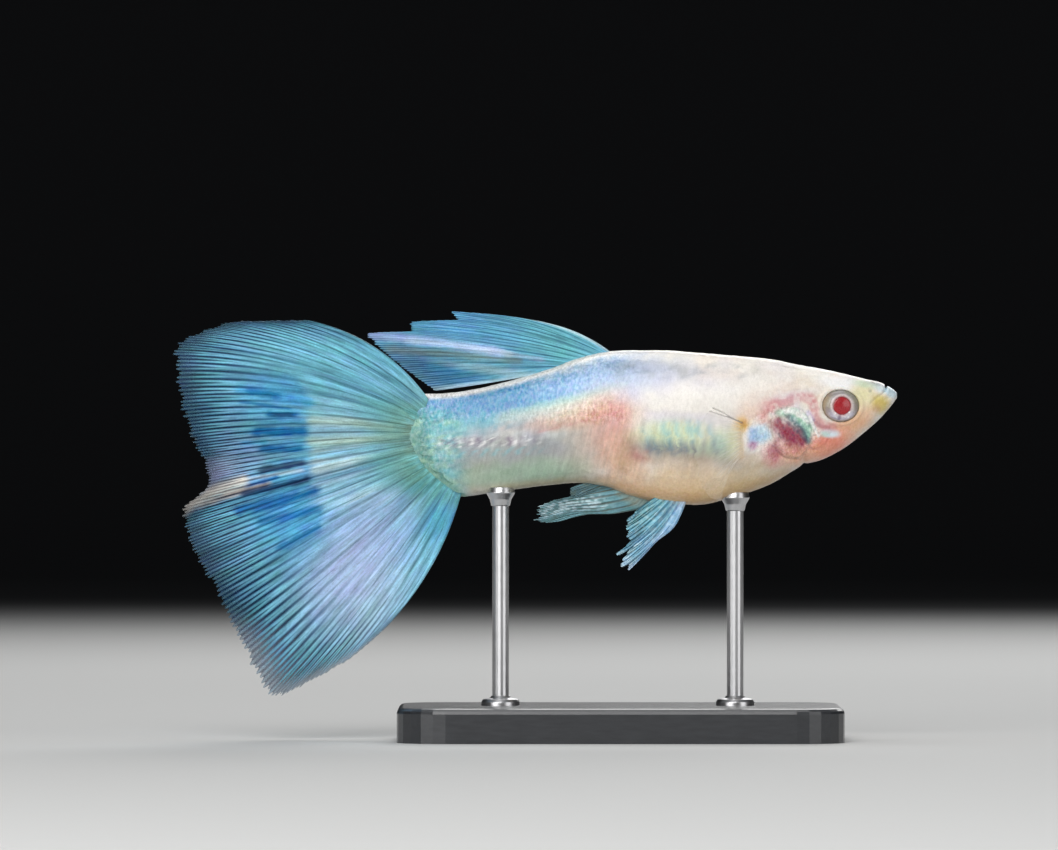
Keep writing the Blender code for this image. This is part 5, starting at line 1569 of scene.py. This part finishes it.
class GUPPY_OT_eyes(bpy.types.Operator):
    """Set the two eyes in their sockets"""

    bl_idname = "guppy.eyes"
    bl_label = "Eyes"

    def execute(self, context):
        sizes = context.scene.guppy_eyes
        material = eye_material()
        for side, word in ((-1, "right"), (1, "left")):
            self.eyeball(word, side, sizes, material)
        return {"FINISHED"}

    def eyeball(self, word, side, sizes, material):
        around, front_rows, rear_rows = 120, 76, 14
        front = np.linspace(0, 1, front_rows + 1)[1:]
        rear = np.cos(np.linspace(0, np.pi / 2, rear_rows + 1))[1:-1]
        radius = np.concatenate((front, rear)) * EYE_RADIUS
        sign = np.concatenate((np.ones(front_rows), -np.ones(len(rear))))
        dome = (1 - np.minimum(radius / EYE_RADIUS, 1) ** EYE_SQUARE) ** (1 / EYE_SQUARE)
        out = sign * EYE_DEPTH * dome
        pupil, ring = sizes.pupil / MM, sizes.inner_ring / MM
        on_front = sign > 0
        angle = np.arange(around) * 2 * np.pi / around
        centre, out_way, forward, up = eye_frame(side)
        ahead = radius[:, None] * np.cos(angle)
        above = radius[:, None] * np.sin(angle) * EYE_HALF_HEIGHT / EYE_RADIUS
        reach = np.hypot(ahead, above)
        relief = 0.05 * ramp(reach, pupil, 0.0) - 0.03 * bump(reach, pupil, 0.05) - 0.02 * bump(reach, ring, 0.06)
        out = out[:, None] + on_front[:, None] * relief
        grid = (
            centre
            + out[..., None] * out_way
            + ahead[..., None] * forward
            + above[..., None] * up
        ).reshape(-1, 3)
        poles = np.array((centre + (EYE_DEPTH + 0.05) * out_way, centre - EYE_DEPTH * out_way))
        points = np.concatenate((grid, poles))
        rows = len(radius)
        quads = grid_faces(rows, around, wrap=True)
        first, last = np.arange(around), (rows - 1) * around + np.arange(around)
        triangles = np.concatenate((
            np.stack((np.roll(first, -1), first, np.full(around, len(grid))), axis=1),
            np.stack((last, np.roll(last, -1), np.full(around, len(grid) + 1)), axis=1),
        ))
        obj = solid(f"eyeball_{word}", points, quads, triangles, material)
        flat_radius = np.concatenate((np.repeat(radius, around), (0.0, 0.0)))
        flat_angle = np.concatenate((np.tile(angle, rows), (0.0, 0.0)))
        flat_ahead, flat_above = (np.append(values.ravel(), (0.0, 0.0)) for values in (ahead, above))
        store_paint(obj.data, self.colours(points, flat_radius / EYE_RADIUS, flat_ahead, flat_above, sizes))
        store_map(obj.data, "Rings", np.column_stack((flat_angle / (2 * np.pi), flat_radius)))
        attach(obj, "eye", f"eye_{word}")

    def colours(self, points, rim, ahead, above, sizes):
        """Crimson pupil, a pale pink ring, then silver that darkens to olive at the edge, with glints below."""
        painter = Painter(points, "slate", 51)
        pupil, ring = sizes.pupil / MM, sizes.inner_ring / MM
        radius = np.hypot(ahead, above) + 0.05 * (mottle(points, 0.12, 53) - 0.5)
        height = above / np.maximum(radius, 0.01)
        grey = ramp(height, -0.75, -0.1)
        painter.wash(sizes.ring_colour, 0.0 * radius + 1.0)
        painter.wash("slate", 0.30 * ramp(height, 0.3, 0.8))
        painter.wash("olive", 0.35 * grey * ramp(radius, 0.86, 1.05))
        painter.wash("tan", 0.50 * ramp(rim, 0.65, 0.95) * ramp(ahead, -0.3, -1.0))
        painter.wash("olive", 0.65 * ramp(rim, 0.78, 0.97) * ramp(ahead, -0.4, 0.6) * (0.3 + 0.7 * ramp(height, -0.9, -0.2)))
        painter.wash("dusk", 0.14 * ramp(rim, 0.86, 0.98))
        painter.wash("lilac", 0.65 * ramp(height, -0.1, -0.8) * ramp(rim, 0.97, 0.80))
        painter.wash("white", 0.35 * ramp(height, -0.4, -0.9) * ramp(rim, 0.92, 0.75))
        painter.wash("mauve", 0.30 * ramp(mottle(points, 0.20, 57), 0.52, 0.72))
        painter.wash("white", 0.60 * bump(radius, (pupil + ring) / 2 + 0.02, 0.08))
        painter.wash("rose", 0.45 * bump(radius, pupil + 0.06, 0.08))
        for place, reach in (((-0.48, -0.50), 0.13), ((0.50, -0.83), 0.12), ((0.52, -0.48), 0.10)):
            painter.wash("white", 0.85 * ramp(np.hypot(ahead - place[0], above - place[1]), reach, 0.3 * reach))
        painter.wash("mauve", 0.85 * ramp(np.hypot(ahead + 0.18, 0.8 * (above + 0.86)), 0.20, 0.06))
        painter.wash(sizes.pupil_colour, ramp(radius, pupil + 0.03, pupil - 0.03))
        painter.wash("ink", 0.30 * bump(radius, pupil, 0.05))
        return painter.colour


class GUPPY_OT_tail(bpy.types.Operator):
    """Build the delta tail with its forked rays"""

    bl_idname = "guppy.tail"
    bl_label = "Tail fin"

    def execute(self, context):
        sizes = context.scene.guppy_fins
        skin, ridge = sizes.skin / MM, sizes.ridge / MM
        fan = Fan(tail_point, sizes.tail_rays, 3, 6, 53, seed=11, gaps=(0.17, 0.58))
        obj = fan.build(
            "tail_fan", fin_material("tail_skin", 0.12), paint_tail,
            (1.4 * skin, skin), (ridge, 0.55 * ridge), 0.30, 0.014, 0.018,
        )
        attach(obj, "blue_fin", "tail_fin")
        return {"FINISHED"}


class GUPPY_OT_dorsal(bpy.types.Operator):
    """Build the dorsal fin"""

    bl_idname = "guppy.dorsal"
    bl_label = "Dorsal fin"

    def execute(self, context):
        sizes = context.scene.guppy_fins
        skin, ridge = sizes.skin / MM, sizes.ridge / MM
        fan = Fan(dorsal_point, sizes.dorsal_rays, 3, 6, 64, seed=12, gaps=(0.24, 0.50))
        obj = fan.build(
            "dorsal_fan", fin_material("dorsal_skin", 0.12), paint_dorsal,
            (1.4 * skin, skin), (ridge, 0.5 * ridge), 0.18, 0.010, 0.012,
        )
        attach(obj, "blue_fin", "dorsal_fin")
        return {"FINISHED"}


class GUPPY_OT_lower_fins(bpy.types.Operator):
    """Build the anal fin and the two pelvic fins"""

    bl_idname = "guppy.lower_fins"
    bl_label = "Anal and pelvic fins"

    def execute(self, context):
        sizes = context.scene.guppy_fins
        skin, ridge = sizes.skin / MM, sizes.ridge / MM
        thick = ((1.4 * skin, skin), (0.9 * ridge, 0.6 * ridge), 0.12)
        material = fin_material("pale_skin", 0.05)
        fan = Fan(anal_point, sizes.small_rays + 2, 2, 8, 50, seed=13, gaps=(0.35, 0.50))
        attach(fan.build("anal_fan", material, paint_anal, *thick, 0.03, 0.05), "blue_fin", "anal_fin")
        for side, word in ((-1, "right"), (1, "left")):
            fan = Fan(pelvic_point(side), sizes.small_rays, 2, 8, 60, seed=15, gaps=(0.45, 0.50))
            obj = fan.build(f"pelvic_fan_{word}", material, paint_pelvic, *thick, 0.04, 0.04)
            attach(obj, "blue_fin", f"pelvic_fin_{word}")
        return {"FINISHED"}


class GUPPY_OT_pectorals(bpy.types.Operator):
    """Build the two clear pectoral fins"""

    bl_idname = "guppy.pectorals"
    bl_label = "Pectoral fins"

    def execute(self, context):
        sizes = context.scene.guppy_fins
        skin, ridge = sizes.skin / MM, sizes.ridge / MM
        material = fin_material("clear_skin", 0.0)
        for side, word in ((-1, "right"), (1, "left")):
            fan = Fan(pectoral_point(side), sizes.small_rays + 5, 1, 8, 44, seed=18, gaps=(0.80, 0.82))
            obj = fan.build(
                f"pectoral_fan_{word}", material, paint_pectoral,
                (0.8 * skin, 0.5 * skin), (0.3 * ridge, 0.2 * ridge), 0.01, 0.015, 0.02,
            )
            attach(obj, "clear_fin", f"pectoral_fin_{word}")
        return {"FINISHED"}


class GUPPY_OT_stand(bpy.types.Operator):
    """Finish the base and the rods, with a collar at each foot and a saddle at each top"""

    bl_idname = "guppy.stand"
    bl_label = "Stand"

    def execute(self, context):
        sizes = context.scene.guppy_stage
        steel = rod_material("turned_steel", sizes.rod_colour)
        dress("stand_base", base_material(sizes.base_colour))
        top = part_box("stand_base")[1].z / MM
        for word in ("front", "rear"):
            node = f"stand_rod_{word}"
            dress(node, steel)
            low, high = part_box(node)
            x, radius = (low.x + high.x) / 2 / MM, (high.x - low.x) / 2 / MM
            foot = (
                (radius * 0.9, top - 0.02), (radius * 2.3, top - 0.02), (radius * 2.3, top + 0.25),
                (radius * 2.1, top + 0.45), (radius * 1.25, top + 0.55), (radius * 1.1, top + 0.7),
                (radius * 0.9, top + 0.7),
            )
            attach(self.turned(f"stand_collar_{word}", x, foot, steel), "rod")
            reach = float(belly(x))
            saddle = (
                (radius * 0.9, reach - 1.1), (radius * 1.12, reach - 1.05), (radius * 1.3, reach - 0.6),
                (radius * 1.75, reach - 0.12), (radius * 1.6, reach + 0.25), (radius * 0.9, reach + 0.3),
            )
            attach(self.turned(f"stand_saddle_{word}", x, saddle, steel), "rod")
        return {"FINISHED"}

    def turned(self, name, x, profile, material, around=64):
        """A ring turned from a closed profile of radius and height."""
        profile = np.array(profile)
        fine = []
        for k in range(len(profile)):
            start, end = profile[k], profile[(k + 1) % len(profile)]
            fine.extend(start + (end - start) * share for share in (0.0, 0.12, 0.5, 0.88))
        fine = np.array(fine)
        angle = np.arange(around) * 2 * np.pi / around
        points = np.stack(
            (
                x + fine[:, :1] * np.cos(angle),
                fine[:, :1] * np.sin(angle),
                np.repeat(fine[:, 1:], around, axis=1),
            ),
            axis=-1,
        ).reshape(-1, 3)
        rows = len(fine)
        quads = grid_faces(rows, around, wrap=True)
        last, first = (rows - 1) * around + np.arange(around), np.arange(around)
        closing = np.stack((last, np.roll(last, -1), np.roll(first, -1), first), axis=1)
        return solid(name, points, np.concatenate((quads, closing)), np.empty((0, 3), int), material)


def dress(node, material):
    """Gives a kept solid its finish."""
    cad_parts[node].material_slots[0].material = material


class GUPPY_OT_stage(bpy.types.Operator):
    """Set the paper, the lights and the camera"""

    bl_idname = "guppy.stage"
    bl_label = "Stage"

    def execute(self, context):
        sizes = context.scene.guppy_stage
        self.paper(sizes)
        self.light("key", (-0.10, -0.44, 0.30), 0.34, sizes.key_power)
        self.light("fill", (0.34, -0.30, 0.10), 0.30, 0.35 * sizes.key_power)
        self.light("low_fill", (-0.24, -0.36, 0.04), 0.26, 0.44 * sizes.key_power)
        self.light("top", (-0.02, 0.10, 0.50), 0.36, 0.62 * sizes.key_power)
        self.light("rear", (0.10, 0.45, 0.25), 0.30, 0.55 * sizes.key_power)
        world = bpy.data.worlds.new("studio_air")
        world.use_nodes = True
        world.node_tree.nodes["Background"].inputs["Color"].default_value = (0.75, 0.78, 0.82, 1)
        world.node_tree.nodes["Background"].inputs["Strength"].default_value = 0.20
        context.scene.world = world
        context.scene.view_settings.view_transform = "Standard"
        camera = bpy.data.objects.new("camera", bpy.data.cameras.new("camera"))
        context.scene.collection.objects.link(camera)
        camera.location = Vector(CAMERA_PLACE) * MM
        camera.rotation_euler = (math.radians(90), 0, 0)
        camera.data.sensor_width = 36
        camera.data.lens = CAMERA_LENS
        camera.data.clip_start = 0.01
        context.scene.camera = camera
        return {"FINISHED"}

    def paper(self, sizes):
        """A round sheet that turns up into a wall on every side."""
        flat, bend = 0.80 * sizes.radius, 0.20 * sizes.radius
        reach = list(np.linspace(0.0, flat, 20)[1:])
        profile = [(r, 0.0) for r in reach]
        for angle in np.linspace(0, math.pi / 2, 24)[1:]:
            profile.append((flat + bend * math.sin(angle), bend * (1 - math.cos(angle))))
        profile.append((sizes.radius, 0.8 * sizes.radius))
        profile = np.array(profile) / MM
        around = 96
        angle = np.arange(around) * 2 * np.pi / around
        points = np.stack(
            (
                profile[:, :1] * np.cos(angle),
                profile[:, :1] * np.sin(angle),
                np.repeat(profile[:, 1:], around, axis=1),
            ),
            axis=-1,
        ).reshape(-1, 3)
        points = np.concatenate((points, [(0, 0, 0)]))
        quads = grid_faces(len(profile), around, wrap=True)
        first = np.arange(around)
        middle = np.stack((first, np.roll(first, -1), np.full(around, len(points) - 1)), axis=1)
        mesh = bpy.data.meshes.new("paper")
        mesh.from_pydata((points * MM).tolist(), [], quads[:, ::-1].tolist() + middle.tolist())
        mesh.shade_smooth()
        # Pale out to 0.21 m from the middle and dark from 0.68 m: a painted pool of light under the model.
        mesh.materials.append(floor_material(sizes.lit_floor_colour, sizes.wall_colour, 0.21, 0.68))
        link_object("paper", mesh)

    def light(self, name, place, size, power):
        lamp = bpy.data.lights.new(name, "AREA")
        lamp.shape = "DISK"
        lamp.size = size
        lamp.energy = power
        obj = bpy.data.objects.new(name, lamp)
        bpy.context.scene.collection.objects.link(obj)
        obj.location = place
        aim = Vector((-0.006, 0.0, 0.022)) - Vector(place)
        obj.rotation_euler = aim.to_track_quat("-Z", "Y").to_euler()
        obj.visible_camera = False


class GUPPY_PT_model(bpy.types.Panel):
    """Lists the pieces of the model and their sizes"""

    bl_idname = "GUPPY_PT_model"
    bl_label = "Fancy guppy"
    bl_space_type = "VIEW_3D"
    bl_region_type = "UI"
    bl_category = "Guppy"

    def draw(self, context):
        for operator in OPERATORS:
            self.layout.operator(operator.bl_idname)
        for name, group in SETTINGS.items():
            box = self.layout.box()
            for key in group.__annotations__:
                box.prop(getattr(context.scene, name), key)


SETTINGS = {
    "guppy_skin": GuppySkin,
    "guppy_scales": GuppyScales,
    "guppy_eyes": GuppyEyes,
    "guppy_fins": GuppyFins,
    "guppy_stage": GuppyStage,
}
OPERATORS = (
    GUPPY_OT_stage,
    GUPPY_OT_skin,
    GUPPY_OT_scales,
    GUPPY_OT_eyes,
    GUPPY_OT_tail,
    GUPPY_OT_dorsal,
    GUPPY_OT_lower_fins,
    GUPPY_OT_pectorals,
    GUPPY_OT_stand,
)


def register():
    for group in (*SETTINGS.values(), *OPERATORS, GUPPY_PT_model):
        bpy.utils.register_class(group)
    for name, group in SETTINGS.items():
        setattr(bpy.types.Scene, name, bpy.props.PointerProperty(type=group))


def unregister():
    for name in SETTINGS:
        delattr(bpy.types.Scene, name)
    for group in reversed((*SETTINGS.values(), *OPERATORS, GUPPY_PT_model)):
        bpy.utils.unregister_class(group)


def main():
    register()
    for operator in OPERATORS:
        group, name = operator.bl_idname.split(".")
        getattr(getattr(bpy.ops, group), name)()


if __name__ == "__main__":
    main()
